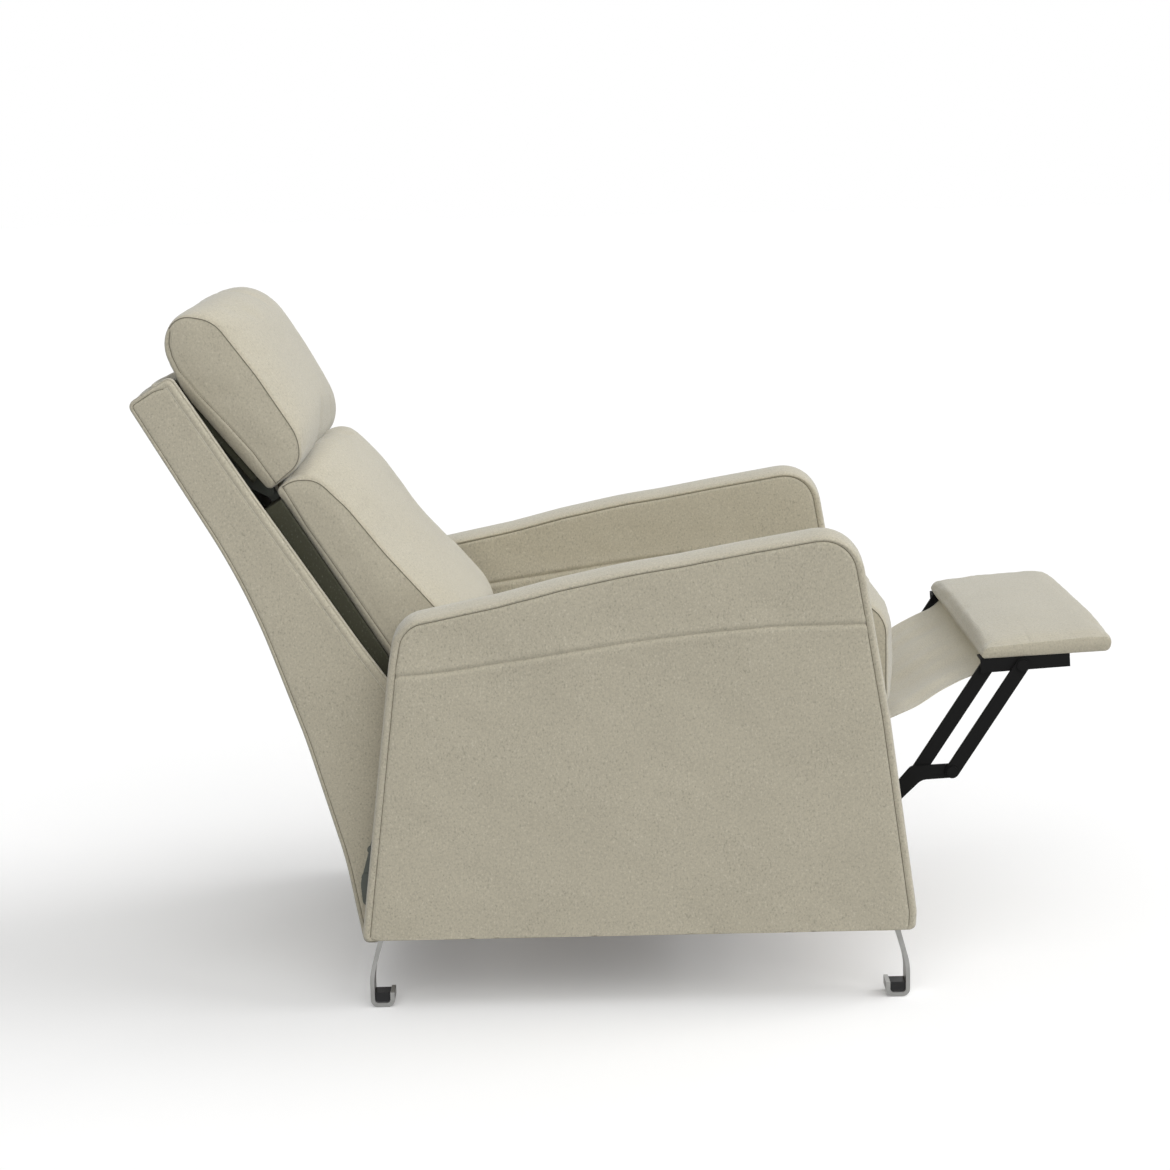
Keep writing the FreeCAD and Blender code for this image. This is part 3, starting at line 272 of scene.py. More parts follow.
def rounded(corners, per_arc=9, per_line=14):
    """Points round a closed outline of (x, z, radius) corners, the same number for each corner."""
    points = [Vector(corner[:2]) for corner in corners]
    ring = []
    arcs = []
    for index, corner in enumerate(corners):
        here = points[index]
        back = points[index - 1] - here
        ahead = points[(index + 1) % len(points)] - here
        half = back.angle(ahead) / 2
        reach = min(corner[2] / math.tan(half), ARC_LIMIT * min(back.length, ahead.length))
        reach = max(reach, SMALLEST_REACH)
        radius = reach * math.tan(half)
        bisector = (back.normalized() + ahead.normalized()).normalized()
        centre = here + bisector * (radius / math.sin(half))
        first = here + back.normalized() * reach - centre
        last = here + ahead.normalized() * reach - centre
        turn = math.atan2(first.x * last.y - first.y * last.x, first.dot(last))
        arc = []
        for step in range(per_arc + 1):
            angle = turn * step / per_arc
            spin = Matrix.Rotation(angle, 2)
            arc.append(centre + spin @ first)
        arcs.append(arc)
    for index, arc in enumerate(arcs):
        ring += arc
        start = arc[-1]
        stop = arcs[(index + 1) % len(arcs)][0]
        for step in range(1, per_line):
            ring.append(start.lerp(stop, step / per_line))
    return np.array([tuple(point) for point in ring])


def along(points, spacing, closed=True):
    """The same line with points evenly spaced."""
    line = np.vstack([points, points[:1]]) if closed else np.array(points, float)
    steps = np.linalg.norm(np.diff(line, axis=0), axis=1)
    reached = np.concatenate([[0], np.cumsum(steps)])
    count = max(4, int(round(reached[-1] / spacing)))
    wanted = np.linspace(0, reached[-1], count + 1)
    if closed:
        wanted = wanted[:-1]
    return np.stack([np.interp(wanted, reached, line[:, k]) for k in range(line.shape[1])], axis=1)


def inset(ring, distance):
    """A closed outline moved inward by a distance, one for all points or one each."""
    ahead = np.roll(ring, -1, axis=0) - np.roll(ring, 1, axis=0)
    ahead /= np.linalg.norm(ahead, axis=1)[:, None]
    sideways = np.stack([-ahead[:, 1], ahead[:, 0]], axis=1)
    area = 0.5 * np.sum(ring[:, 0] * np.roll(ring[:, 1], -1) - np.roll(ring[:, 0], -1) * ring[:, 1])
    return ring + sideways * np.reshape(distance, (-1, 1)) * (1 if area > 0 else -1)


def offset_line(line, distance):
    """An open line moved to one side by a distance."""
    ahead = np.gradient(line, axis=0)
    ahead /= np.linalg.norm(ahead, axis=1)[:, None]
    return line + np.stack([-ahead[:, 1], ahead[:, 0]], axis=1) * distance


def tree_of(points):
    made = KDTree(len(points))
    for index, point in enumerate(points):
        made.insert((point[0], point[1], point[2] if len(point) > 2 else 0), index)
    made.balance()
    return made


def distances(points, tree):
    flat = np.zeros((len(points), 3))
    flat[:, : points.shape[1]] = points
    return np.array([tree.find(Vector(point))[2] for point in flat])


def wobble(points, wavelength, seed, count=9):
    """A smooth uneven value, about -1 to 1, that depends only on place."""
    rng = np.random.default_rng(seed)
    directions = rng.normal(size=(count, points.shape[1]))
    directions /= np.linalg.norm(directions, axis=1)[:, None]
    turns = 2 * math.pi / (wavelength * rng.uniform(0.7, 1.4, count))
    phases = rng.uniform(0, 2 * math.pi, count)
    waves = np.sin(points @ (directions * turns[:, None]).T + phases)
    return waves.sum(axis=1) / math.sqrt(count)


def soft_step(value):
    """Nought below 0, one above 1, and a smooth rise between them."""
    share = np.clip(value, 0, 1)
    return share * share * (3 - 2 * share)


# How far from a seam the lines of mesh points beside it lie, in millimetres
SEAM_LANES = (1.2, 2.6, 4.6, 8.0, 13.0)
LANE_SPACING = 3.0


def filled(ring, seams, spacing):
    """Points and triangles that fill a closed outline, closer together along its seams."""
    edge_points = along(ring, 1.5)
    edge = tree_of(edge_points)
    seam_points = [along(line, 1.5, closed=False) for line in seams]
    near = tree_of(np.vstack([edge_points] + seam_points))
    fine_seams = [along(line, LANE_SPACING, False) for line in seams]
    extra = []
    for distance in SEAM_LANES:
        gap = max(LANE_SPACING, distance)
        candidates = [along(inset(along(ring, LANE_SPACING), distance), gap)]
        for line in fine_seams:
            for side in (-1, 1):
                candidates.append(along(offset_line(line, side * distance), gap, False))
        for points in candidates:
            extra.append(points[distances(points, near) > distance * 0.8])
    for points in fine_seams:
        extra.append(points[distances(points, edge) > 1.0])
    low = ring.min(axis=0)
    high = ring.max(axis=0)
    across, up = np.meshgrid(
        np.arange(low[0], high[0], spacing), np.arange(low[1], high[1], spacing),
    )
    across = across + (np.arange(across.shape[0]) % 2)[:, None] * spacing / 2
    grid = np.stack([across.ravel(), up.ravel()], axis=1)
    extra.append(grid[distances(grid, near) > SEAM_LANES[-1] + 2])
    points = np.vstack([ring] + extra)
    count = len(ring)
    edges = [(index, (index + 1) % count) for index in range(count)]
    result = delaunay_2d_cdt([Vector(point) for point in points], edges, [], 1, 1e-4)
    verts = np.array([tuple(vert) for vert in result[0]])
    return verts, [tuple(face) for face in result[2]]


def mesh_piece(name, verts, faces, material, body, weld=0.05):
    """A smooth piece in the frame, from points in millimetres of the chair."""
    mesh = bpy.data.meshes.new(name)
    mesh.from_pydata([tuple(v) for v in metres(verts)], [], faces)
    made = bpy.data.objects.new(name, mesh)
    scene.collection.objects.link(made)
    work = bmesh.new()
    work.from_mesh(mesh)
    bmesh.ops.remove_doubles(work, verts=work.verts, dist=weld / 1000)
    bmesh.ops.recalc_face_normals(work, faces=work.faces)
    work.to_mesh(mesh)
    work.free()
    mesh.shade_smooth()
    mesh.materials.append(MATERIALS[material])
    if body:
        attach(made, body)
    return made


def quads(rows, count, closed=False):
    """Faces between rows of points, where each row is a ring of count points."""
    faces = []
    for row in range(rows if closed else rows - 1):
        here = row * count
        after = (row + 1) % rows * count
        for index in range(count):
            following = (index + 1) % count
            faces.append((here + index, here + following, after + following, after + index))
    return faces


def swept(name, rows, material, body):
    """A closed piece from rows of points, row after row across the chair."""
    count = len(rows[0])
    verts = np.vstack(rows)
    faces = quads(len(rows), count)
    faces.append(tuple(range(count)))
    faces.append(tuple((len(rows) - 1) * count + index for index in range(count)))
    return mesh_piece(name, verts, faces, material, body)


# Faces round a thread
THREAD_SIDES = 6
# Directions that a thread's cross-section is laid out from, neither of them along a seam
THREAD_UP = np.array([0.123, 0.971, 0.21])
THREAD_UP_WHERE_WEAK = np.array([1.0, 0.1, 0.2])


def thread(name, lines, radius, parent, material="seam", closed=True):
    """Stitching that lies in the seams: thin tubes along lines in millimetres. The dark thread
    paints the shade in a seam's groove, the light one along a wing's front the highlight on its
    ridge.
    """
    verts = []
    faces = []
    sides = THREAD_SIDES
    for line in lines:
        points = np.array(line, float)
        count = len(points)
        if closed:
            ahead = np.roll(points, -1, axis=0) - np.roll(points, 1, axis=0)
        else:
            ahead = np.gradient(points, axis=0)
        ahead /= np.maximum(np.linalg.norm(ahead, axis=1), 1e-9)[:, None]
        up = np.cross(ahead, THREAD_UP)
        weak = np.linalg.norm(up, axis=1) < 0.3
        up[weak] = np.cross(ahead[weak], THREAD_UP_WHERE_WEAK)
        up /= np.linalg.norm(up, axis=1)[:, None]
        other = np.cross(ahead, up)
        start = len(verts)
        for index in range(count):
            for side in range(sides):
                angle = 2 * math.pi * side / sides
                out = math.cos(angle) * up[index] + math.sin(angle) * other[index]
                verts.append(points[index] + radius * out)
        last = count if closed else count - 1
        for index in range(last):
            following = (index + 1) % count
            for side in range(sides):
                next_side = (side + 1) % sides
                faces.append((
                    start + index * sides + side, start + following * sides + side,
                    start + following * sides + next_side, start + index * sides + next_side,
                ))
        if not closed:
            faces.append(tuple(start + side for side in range(sides)))
            faces.append(tuple(start + (count - 1) * sides + side for side in range(sides)))
    made = mesh_piece(name, np.array(verts), faces, material, None, weld=0.0001)
    made.parent = parent
    return made


# Padded panels, cut from a flat outline and sewn to a strip round the edge

def tucked(ring, distance):
    """An outline moved inward, except along its bottom, where the cloth is tucked under."""
    moved = inset(ring, distance)
    low = ring[:, 1].min()
    left = ring[:, 0].min()
    right = ring[:, 0].max()
    middle = (left + right) / 2
    half = (right - left) / 2
    under = np.column_stack([
        middle + (ring[:, 0] - middle) * (half - distance) / half, ring[:, 1] + 0.12 * distance,
    ])
    share = soft_step((ring[:, 1] - low - 1) / 12)[:, None]
    return under * (1 - share) + moved * share


# How much wider the strip is along the front of a wing, and the millimetres over which it narrows
FRONT_STRIP_GAIN = 1.1
FRONT_STRIP_FADE = 26
# The bottom of a panel has no seam: the cloth is tucked under, up to this height in millimetres
TUCKED_UNDER = 4


def padded_panel(name, corners, near, far, rim, seams, material, body, puff, seed, groove=2.0,
                 spacing=7.0, seam_groove=0.9, stitch=0.7, tuck=False, front=None, shaped=None):
    """A padded board in an upright plane. near and far are its two faces, across the chair.

    The strip is wider along front, a line of the outline, and the thread in its seam there is
    light, a painted highlight on the seam's ridge.
    shaped moves the finished points, seams too.
    """
    ring = along(rounded(corners), 4.0)
    wider = np.ones(len(ring))
    if front is not None:
        from_front = distances(ring, tree_of(along(front, 1.0, False)))
        wider += FRONT_STRIP_GAIN * soft_step(1.25 - from_front / FRONT_STRIP_FADE)

    def move(line, distance):
        return tucked(line, distance) if tuck else inset(line, distance * wider)

    seam_ring = move(ring, rim)
    sewn = np.ones(len(ring), bool)
    if tuck:
        sewn = ring[:, 1] > ring[:, 1].min() + TUCKED_UNDER
    middle = (near + far) / 2
    half = abs(far - near) / 2
    # The strip round the edge, from one face's seam to the other's: share of its width, and rise
    profile = [
        (1.0, -groove), (0.93, -0.45 * groove), (0.80, -0.02), (0.60, 0.5), (0.40, 0.0),
        (0.20, -1.6), (0.06, -4.2), (0.0, -0.62 * rim), (-0.01, -1.0 * rim),
    ]
    depths = [rim * depth for depth, _ in profile]
    across = [half + rise for _, rise in profile]
    inner = np.linspace(across[-1], -across[-1], 9)[1:-1]
    bulge = [-min(1.5, rim * 0.1) * (1 - (place / across[-1]) ** 2) for place in inner]
    depths = depths + bulge + depths[::-1]
    across = across + list(inner) + [-place for place in across[::-1]]
    verts = []
    count = len(ring)
    for depth, place in zip(depths, across):
        moved = move(ring, depth)
        ripple = 0.35 * wobble(np.column_stack([moved, np.full(count, place)]), 45, seed)
        ripple *= 1 if 0.5 < depth < rim - 0.5 else 0.4
        outward = (1 if place > 0 else -1) * (1 if depth < rim - 0.1 else 0)
        for point, extra in zip(moved, ripple):
            verts.append((point[0], middle + place + outward * extra, point[1]))
    faces = quads(len(depths), count)
    # The two faces
    flat, triangles = filled(seam_ring, seams, spacing)
    edge = along(seam_ring, 1.0)
    on_edge = distances(flat, tree_of(edge)) < 0.02
    if tuck:
        edge = edge[edge[:, 1] > seam_ring[:, 1].min() + TUCKED_UNDER]
    from_edge = distances(flat, tree_of(edge))
    height = -groove * np.exp(-(from_edge / 1.5) ** 2)
    height += puff * (1 - np.exp(-from_edge / 24))
    height += 0.5 * (1 - np.exp(-from_edge / 3)) * np.exp(-from_edge / 18)
    for line in seams:
        from_seam = distances(flat, tree_of(along(line, 1.0, False)))
        height -= seam_groove * np.exp(-(from_seam / 2.2) ** 2)
        height += 0.45 * seam_groove * np.exp(-((from_seam - 7) / 5) ** 2)
        beside_seam = np.exp(-from_seam / 9) * (1 - np.exp(-from_seam / 2))
        height += 0.5 * wobble(flat, 22, seed + 3) * beside_seam
    calm = 1 - np.exp(-from_edge / 12)
    beside_edge = np.exp(-from_edge / 9) * (1 - np.exp(-from_edge / 2))
    for sign, place in ((1, middle + half), (-1, middle - half)):
        solid = np.column_stack([flat, np.full(len(flat), place)])
        uneven = 0.8 * wobble(solid, 160, seed) + 0.35 * wobble(solid, 55, seed + 1)
        pucker = 0.25 * wobble(solid, 17, seed + 2) * beside_edge
        rise = np.where(on_edge, -groove, height + uneven * calm + pucker)
        start = len(verts)
        for point, lift in zip(flat, rise):
            verts.append((point[0], place + sign * lift, point[1]))
        faces += [tuple(start + index for index in triangle) for triangle in triangles]
    verts = np.array(verts)
    made = mesh_piece(name, shaped(verts) if shaped else verts, faces, material, body)
    lines = []
    if tuck:
        first = int(np.argmin(sewn))
        stitched = np.roll(seam_ring, -first, axis=0)[np.roll(sewn, -first)]
    else:
        stitched = along(seam_ring, 3.0)
    for sign, place in ((1, middle + half), (-1, middle - half)):
        level = np.full(len(stitched), place - sign * (groove - stitch * 0.5))
        lines.append(np.column_stack([stitched[:, 0], level, stitched[:, 1]]))
    if shaped:
        lines = [shaped(line) for line in lines]
    if front is None:
        thread(name + "_seams", lines, stitch, made, closed=not tuck)
        return made
    # Along a wing's front the thread is light, a painted highlight on the seam's ridge; elsewhere
    # it is the dark thread with painted groove shade
    front_highlight = distances(lines[0][:, ::2], tree_of(along(front, 1.0, False))) < 16
    first = int(np.argmin(front_highlight))
    front_highlight = np.roll(front_highlight, -first)
    for part, chosen, look in (("_rear_seams", ~front_highlight, "seam"), ("_front_highlights", front_highlight, "front_highlight")):
        pieces = [np.roll(line, -first, axis=0)[chosen] for line in lines]
        thread(name + part, pieces, stitch, made, material=look, closed=False)
    return made


PANEL_LONG = 778
PANEL_HIGH = 572
PANEL_LOW = 105
PANEL_SHARES = (
    (0.000, 0.000, 0.023), (0.078, 0.820, 0.085), (0.492, 0.932, 1.900), (0.893, 1.008, 0.105),
    (0.952, 0.530, 0.900), (1.000, 0.045, 0.060), (0.998, 0.000, 0.023),
)
panel_corners = [
    (x * PANEL_LONG, PANEL_LOW + z * PANEL_HIGH, r * PANEL_HIGH * (0.5 if z == 0 else 1))
    for x, z, r in PANEL_SHARES
]
arm_seam = np.array([
    (55, 483), (61, 484), (100, 486.5), (137, 490), (286, 511), (383, 525), (480, 536),
    (578, 543), (710, 544), (722, 544),
], float)
arm_seam = along(arm_seam, 12, False)
PANEL_INSIDE = 275.5
PANEL_OUTSIDE = 347.5
PANEL_RIM = 11.0
# How far the padding's top lies under the board's outline, at places along the arm
ARM_SINK = np.array([
    (0, 14), (205, 14), (287, 10), (450, 9), (532, 6), (614, 4), (700, 2), (778, 0),
], float)
# How far its two edges lie under its middle, and where its rear and front corners begin
ARM_CROWN = 5.5
ARM_REAR, ARM_FRONT = 66, 700
# The upper part of the outline, from the rear forward
panel_top = along(rounded(panel_corners), 4.0)
panel_top = panel_top[panel_top[:, 1] > 480]
panel_top = panel_top[np.argsort(panel_top[:, 0])]


def stuffed_arm(points):
    """The top of an arm as it is stuffed: a little under the outline, and crowned across."""
    ahead = np.clip(points[:, 0], ARM_REAR, ARM_FRONT)
    top = np.interp(ahead, panel_top[:, 0], panel_top[:, 1])
    low = np.interp(points[:, 0], arm_seam[:, 0], arm_seam[:, 1]) + 12
    share = soft_step((points[:, 2] - low) / (top - 14 - low))
    middle = (PANEL_INSIDE + PANEL_OUTSIDE) / 2
    across = np.abs(np.abs(points[:, 1]) - middle) / (PANEL_OUTSIDE - middle)
    rim = np.clip((points[:, 2] - top + PANEL_RIM) / PANEL_RIM, 0, 1)
    moved = points.copy()
    moved[:, 2] -= share * np.interp(points[:, 0], ARM_SINK[:, 0], ARM_SINK[:, 1])
    moved[:, 2] -= ARM_CROWN * np.clip(across, 0, 1) ** 2 * rim
    return moved


for side, sign in (("right", -1), ("left", 1)):
    panel = padded_panel(
        side + "_side_upholstery", panel_corners, sign * PANEL_INSIDE, sign * PANEL_OUTSIDE,
        PANEL_RIM, [arm_seam], "panel_upholstery", "base", 1.6, 5 if sign < 0 else 9,
        seam_groove=2.0, tuck=True, shaped=stuffed_arm,
    )
    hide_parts(side + "_side_panel")

# The back shell: two wings and the wall between them

SHELL_REACH = 298
SHELL_HIGH = 817
SHELL_SHARES = (
    (0.000, 0.000, 0.010), (-0.073, 0.153, 0.700), (-0.241, 0.371, 0.900), (-0.489, 0.636, 1.200),
    (-1.000, 0.958, 0.012), (-0.795, 1.004, 0.012), (-0.436, 0.797, 1.500), (0.032, 0.536, 1.200),
    (0.192, 0.453, 0.500), (0.291, 0.389, 0.060), (0.293, 0.310, 0.080), (0.090, 0.000, 0.030),
)
SHELL_FOOT = (-5, 74)
WING_INSIDE = 244.5
WING_OUTSIDE = 265.0
shell_corners = [
    (SHELL_FOOT[0] + x * SHELL_REACH, SHELL_FOOT[1] + z * SHELL_HIGH, r * SHELL_HIGH)
    for x, z, r in SHELL_SHARES
]
# The corners along a wing's front edge, and those along the rear of the shell
SHELL_FRONT = slice(5, 10)
SHELL_REAR = slice(0, 5)
for side, sign in (("right", -1), ("left", 1)):
    wing = padded_panel(
        side + "_wing_upholstery", shell_corners, sign * WING_INSIDE, sign * WING_OUTSIDE,
        5.5, [], "shell_upholstery", "back", 0.6, 21 if sign < 0 else 25,
        groove=1.4, spacing=8.0, stitch=0.6,
        front=np.array([corner[:2] for corner in shell_corners[SHELL_FRONT]]),
    )

# Where a slab's outlines stand, as shares of its half width: closer together toward its ends
ENDS = [0.94, 0.97, 0.985, 0.994, 1.0]
STATIONS = np.concatenate([-np.array(ENDS[::-1]), np.linspace(-0.88, 0.88, 31), ENDS])
PULL_FROM = 0.97


def slab(name, ring, half, material, body, seed, crown=None, pull=4.0, uneven=0.9):
    """A soft slab of one outline that runs across the chair, rounded in at its two ends."""
    outward = inset(ring, -1.0) - ring
    rows = []
    for station in STATIONS:
        share = abs(station)
        drawn = pull * max(0.0, (share - PULL_FROM) / (1 - PULL_FROM)) ** 2
        proud = np.zeros(len(ring)) if crown is None else crown * (1 - share ** 4)
        solid = np.column_stack([ring, np.full(len(ring), station * half)])
        ripple = uneven * wobble(solid, 150, seed) * (1 - share ** 6)
        moved = ring + outward * (proud - drawn + ripple)[:, None]
        rows.append(np.column_stack([moved[:, 0], np.full(len(ring), station * half), moved[:, 1]]))
    made = swept(name, rows, material, body)
    return made


# The shell's rear wall: its outer line is the wings' rear line, its inner one lies ahead of it
WALL_THICK = 24.9
WALL_CROWN = 4.0
rear_line = shell_corners[SHELL_REAR]
wall_corners = [(x + 1.0, z + 1.0, r) for x, z, r in rear_line]
wall_corners.append((rear_line[-1][0] + 31, rear_line[-1][1] + 19, 7))
wall_corners += [(x + WALL_THICK, z, r) for x, z, r in rear_line[::-1][1:]]
wall_corners[-1] = (wall_corners[-1][0], SHELL_FOOT[1] + 2, 8)
ring = along(rounded(wall_corners), 7.0)
rearward = (inset(ring, -1.0) - ring)[:, 0] < -0.1
wall_piece = slab(
    "shell_rear_upholstery", ring, WING_INSIDE + 0.1, "shell_upholstery", "back", 31,
    crown=np.where(rearward, WALL_CROWN, 0.0),
)
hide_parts("back_shell")


# Cushions: a strip that runs round from front to rear, closed by a side panel at each end

def upright(points, foot, lean):
    """Places across the chair of points (forward, up) on a slope."""
    angle = math.radians(lean)
    forward = points[:, 0] * math.cos(angle) - points[:, 1] * math.sin(angle)
    rise = points[:, 0] * math.sin(angle) + points[:, 1] * math.cos(angle)
    return np.stack([foot[0] + forward, foot[1] + rise], axis=1)


# The covers' cloth simulation: frames, squares in millimetres, and settings of the cloth
COVER_FRAMES = 18
COVER_SQUARES = 6.5
COVER = {
    "quality": 5, "mass": 0.3, "tension_stiffness": 18, "compression_stiffness": 18,
    "shear_stiffness": 6, "bending_stiffness": 0.6, "shrink_min": -0.006,
    "use_pressure": True, "uniform_pressure_force": 4,
}
# How far from a seam a cover is fully held, and past what distance it is free, in millimetres
HELD_NEAR, FREE_PAST = 6, 11
# A cushion that leans further than this lies against a board behind it, the others on one below
STEEP = 20


def filled_out(piece, seams, cap, foot, lean, lowest):
    """Cloth simulation of a cover that is filled from inside and held at its seams and its board.

    A copy with even squares is simulated, and its movement, at most the cap, goes to the piece.
    """
    angle = math.radians(lean)
    sewn_at = tree_of(np.vstack([metres(line) for line in seams]))

    def held(points):
        """One where the cover can't move, nought where it is free, for points in the frame."""
        chair = points * 1000 + [MIDDLE, 0, 0]
        ahead, rise = chair[:, 0] - foot[0], chair[:, 2] - foot[1]
        forward = ahead * math.cos(angle) + rise * math.sin(angle)
        up = rise * math.cos(angle) - ahead * math.sin(angle)
        on_board = (forward if lean > STEEP else up - lowest) < 4
        from_seam = 1000 * np.array([sewn_at.find(Vector(point))[2] for point in points])
        hold = np.clip((FREE_PAST - from_seam) / (FREE_PAST - HELD_NEAR), 0, 1)
        hold[on_board] = 1
        return hold

    copy = bpy.data.objects.new("cover_copy", piece.data.copy())
    scene.collection.objects.link(copy)
    even = copy.modifiers.new("even", "REMESH")
    even.mode = "VOXEL"
    even.voxel_size = COVER_SQUARES / 1000
    depsgraph = bpy.context.evaluated_depsgraph_get()
    copy.data = bpy.data.meshes.new_from_object(copy.evaluated_get(depsgraph))
    copy.modifiers.clear()
    before = read_points(copy.data)
    hold = held(before)
    group = copy.vertex_groups.new(name="sewn")
    for index, weight in enumerate(hold):
        if weight > 0:
            group.add([index], float(weight), "REPLACE")
    cover = copy.modifiers.new("cover", "CLOTH")
    settings = cover.settings
    for setting, value in COVER.items():
        setattr(settings, setting, value)
    settings.vertex_group_mass = "sewn"
    settings.effector_weights.gravity = 0
    for number in range(1, COVER_FRAMES + 1):
        scene.frame_set(number)
    depsgraph = bpy.context.evaluated_depsgraph_get()
    moved = read_points(copy.evaluated_get(depsgraph).data) - before
    bpy.data.objects.remove(copy)
    scene.frame_set(1)
    distance = np.linalg.norm(moved, axis=1)
    limit = cap / 1000
    moved *= (limit * np.tanh(distance / limit) / np.maximum(distance, 1e-9))[:, None]
    tree = tree_of(before)
    points = read_points(piece.data)
    shift = np.zeros_like(points)
    for index, point in enumerate(points):
        close = tree.find_n(Vector(point), 5)
        weights = np.array([1 / (found[2] + 0.0015) ** 2 for found in close])
        shifts = moved[[found[1] for found in close]]
        shift[index] = (shifts * weights[:, None]).sum(axis=0) / weights.sum()
    shift *= (1 - held(points))[:, None]
    piece.data.vertices.foreach_set("co", (points + shift).ravel())
    piece.data.update()


def read_points(mesh):
    points = np.zeros(len(mesh.vertices) * 3)
    mesh.vertices.foreach_get("co", points)
    return points.reshape(-1, 3)


# Where a flare begins, in millimetres from a cushion's rear, and how far on it is at its full width
FLARE_FROM, FLARE_RUN = 360, 110


def cushion(name, corners, half, crown, foot, lean, body, seed, side_seams=(), drawn=4.0,
            spacing=8.0, edge_puff=5.0, rear_strip=None, groove=1.8, calm=1.0, flare=0.0, cap=8):
    """A crowned cushion. Corners are (forward, up, radius, forward swell, upward swell).

    The rear strip, (width, top, fall), is where each side turns round toward the rear. The flare
    is how much further each side stands out at the front than at the rear. Calm scales the
    unevenness of the cover. The cap is how far the cloth simulation may move it.
    """
    lowest = min(corner[1] for corner in corners)

    def flared(points):
        return flare * soft_step((points[:, 0] - FLARE_FROM) / FLARE_RUN)

    def turned(points):
        if rear_strip is None:
            return np.zeros(len(points))
        width, top, fall = rear_strip
        behind = np.clip(1 - points[:, 0] / width, 0, 1)
        return fall * behind ** 1.4 * soft_step((top - points[:, 1]) / 60)

    def ring_at(swell):
        out = crown * swell
        return rounded([
            (forward + out * ahead, up + out * above, radius)
            for forward, up, radius, ahead, above in corners
        ], 8, 12)

    base = ring_at(0.0)
    swell_line = np.linalg.norm(ring_at(1.0) - base, axis=1)
    soft = np.clip(swell_line / max(swell_line.max(), 1e-6), 0, 1)
    shares = np.array([1.0, 0.997, 0.99, 0.98, 0.965, 0.945, 0.92])
    shares = np.concatenate([-shares, np.linspace(-0.89, 0.89, 47), shares[::-1]])
    verts = []
    count = len(base)
    outward = base - inset(base, 1.0)
    for share in shares:
        inner = abs(share)
        away = (1 - inner) * half
        swell = 0.86 * (1 - inner ** 2.3) + 0.14 * (1 - math.exp(-away / 26))
        ring = ring_at(swell)
        lift = edge_puff * (1 - math.exp(-away / 9)) * math.exp(-away / 90)
        lift_line = lift * (0.25 + 0.75 * soft) - groove * math.exp(-(away / 1.6) ** 2)
        solid = np.column_stack([ring, np.full(count, share * half)])
        uneven = 1.5 * wobble(solid, 150, seed) + 0.6 * wobble(solid, 60, seed + 1)
        uneven *= calm * (1 - math.exp(-away / 30))
        beside_seam = math.exp(-away / 14) * (1 - math.exp(-away / 3))
        pucker = 0.5 * wobble(solid, 20, seed + 2) * beside_seam
        ring = ring + outward * (lift_line + (uneven + pucker) * (0.3 + 0.7 * soft))[:, None]
        back = turned(base) * math.exp(-away / 22) * (1 if share > 0 else -1)
        back -= share * flared(base)
        ring = upright(ring, foot, lean)
        verts += [(x, share * half - inward, z) for (x, z), inward in zip(ring, back)]
    faces = quads(len(shares), count)
    # The two sides
    edge = base - outward * groove
    side_seams = [np.array(line, float) for line in side_seams]
    flat, triangles = filled(edge, side_seams, spacing)
    from_edge = distances(flat, tree_of(along(edge, 1.0)))
    height = 3.0 * (1 - np.exp(-from_edge / 7)) - drawn * (1 - np.exp(-from_edge / 60))
    for line in side_seams:
        from_seam = distances(flat, tree_of(along(line, 1.0, False)))
        height -= 1.6 * np.exp(-(from_seam / 1.7) ** 2)
    on_edge = from_edge < 0.02
    placed = upright(flat, foot, lean)
    for sign in (-1, 1):
        solid = np.column_stack([flat, np.full(len(flat), sign * half)])
        uneven = 0.7 * wobble(solid, 90, seed + 5) * (1 - np.exp(-from_edge / 15))
        rise = np.where(on_edge, 0.0, height + uneven) - turned(flat) + flared(flat)
        start = len(verts)
        verts += [(x, sign * (half + lift), z) for (x, z), lift in zip(placed, rise)]
        faces += [tuple(start + index for index in triangle) for triangle in triangles]
    made = mesh_piece(name, np.array(verts), faces, "cushion", body)
    lines = []
    stitched = along(edge + outward * 0.4, 3.0)
    sewn = np.ones(len(stitched), bool)
    if rear_strip is not None:
        rear_seam = side_seams[0]
        sewn = stitched[:, 0] > np.interp(stitched[:, 1], rear_seam[:, 1], rear_seam[:, 0])
        first = int(np.flatnonzero(sewn & ~np.roll(sewn, 1))[0])
        stitched, sewn = np.roll(stitched, -first, axis=0), np.roll(sewn, -first)
    closed = upright(stitched, foot, lean)
    level = half + 0.2 - turned(stitched) + flared(stitched)
    for sign in (-1, 1):
        lines.append(np.column_stack([closed[:, 0], sign * level, closed[:, 1]])[sewn])
    open_lines = []
    for line in side_seams:
        local = along(line, 4.0, False)
        points = upright(local, foot, lean)
        level = half + 0.3 - turned(local)
        for sign in (-1, 1):
            open_lines.append(np.column_stack([points[:, 0], sign * level, points[:, 1]]))
    filled_out(made, lines + open_lines, cap, foot, lean, lowest)
    if groove:
        thread(name + "_side_seams", lines, 0.75, made, closed=rear_strip is None)
    if open_lines:
        thread(name + "_cross_seams", open_lines, 0.6, made, closed=False)
    return made


BACK_HALF = 235
# The lower rear edge of each cushion, and how far it leans, in degrees
BACK_FOOT, BACK_LEAN = (102, 391), 31.8
SEAT_FOOT, SEAT_LEAN = (190, 309), 9.5
PAD_FOOT, PAD_LEAN = (889, 458), 3.3
HEAD_LEAN = 39
# The head cushion's foot lies this far up the back, and this far behind its face
HEAD_UP, HEAD_BEHIND = 403, 9

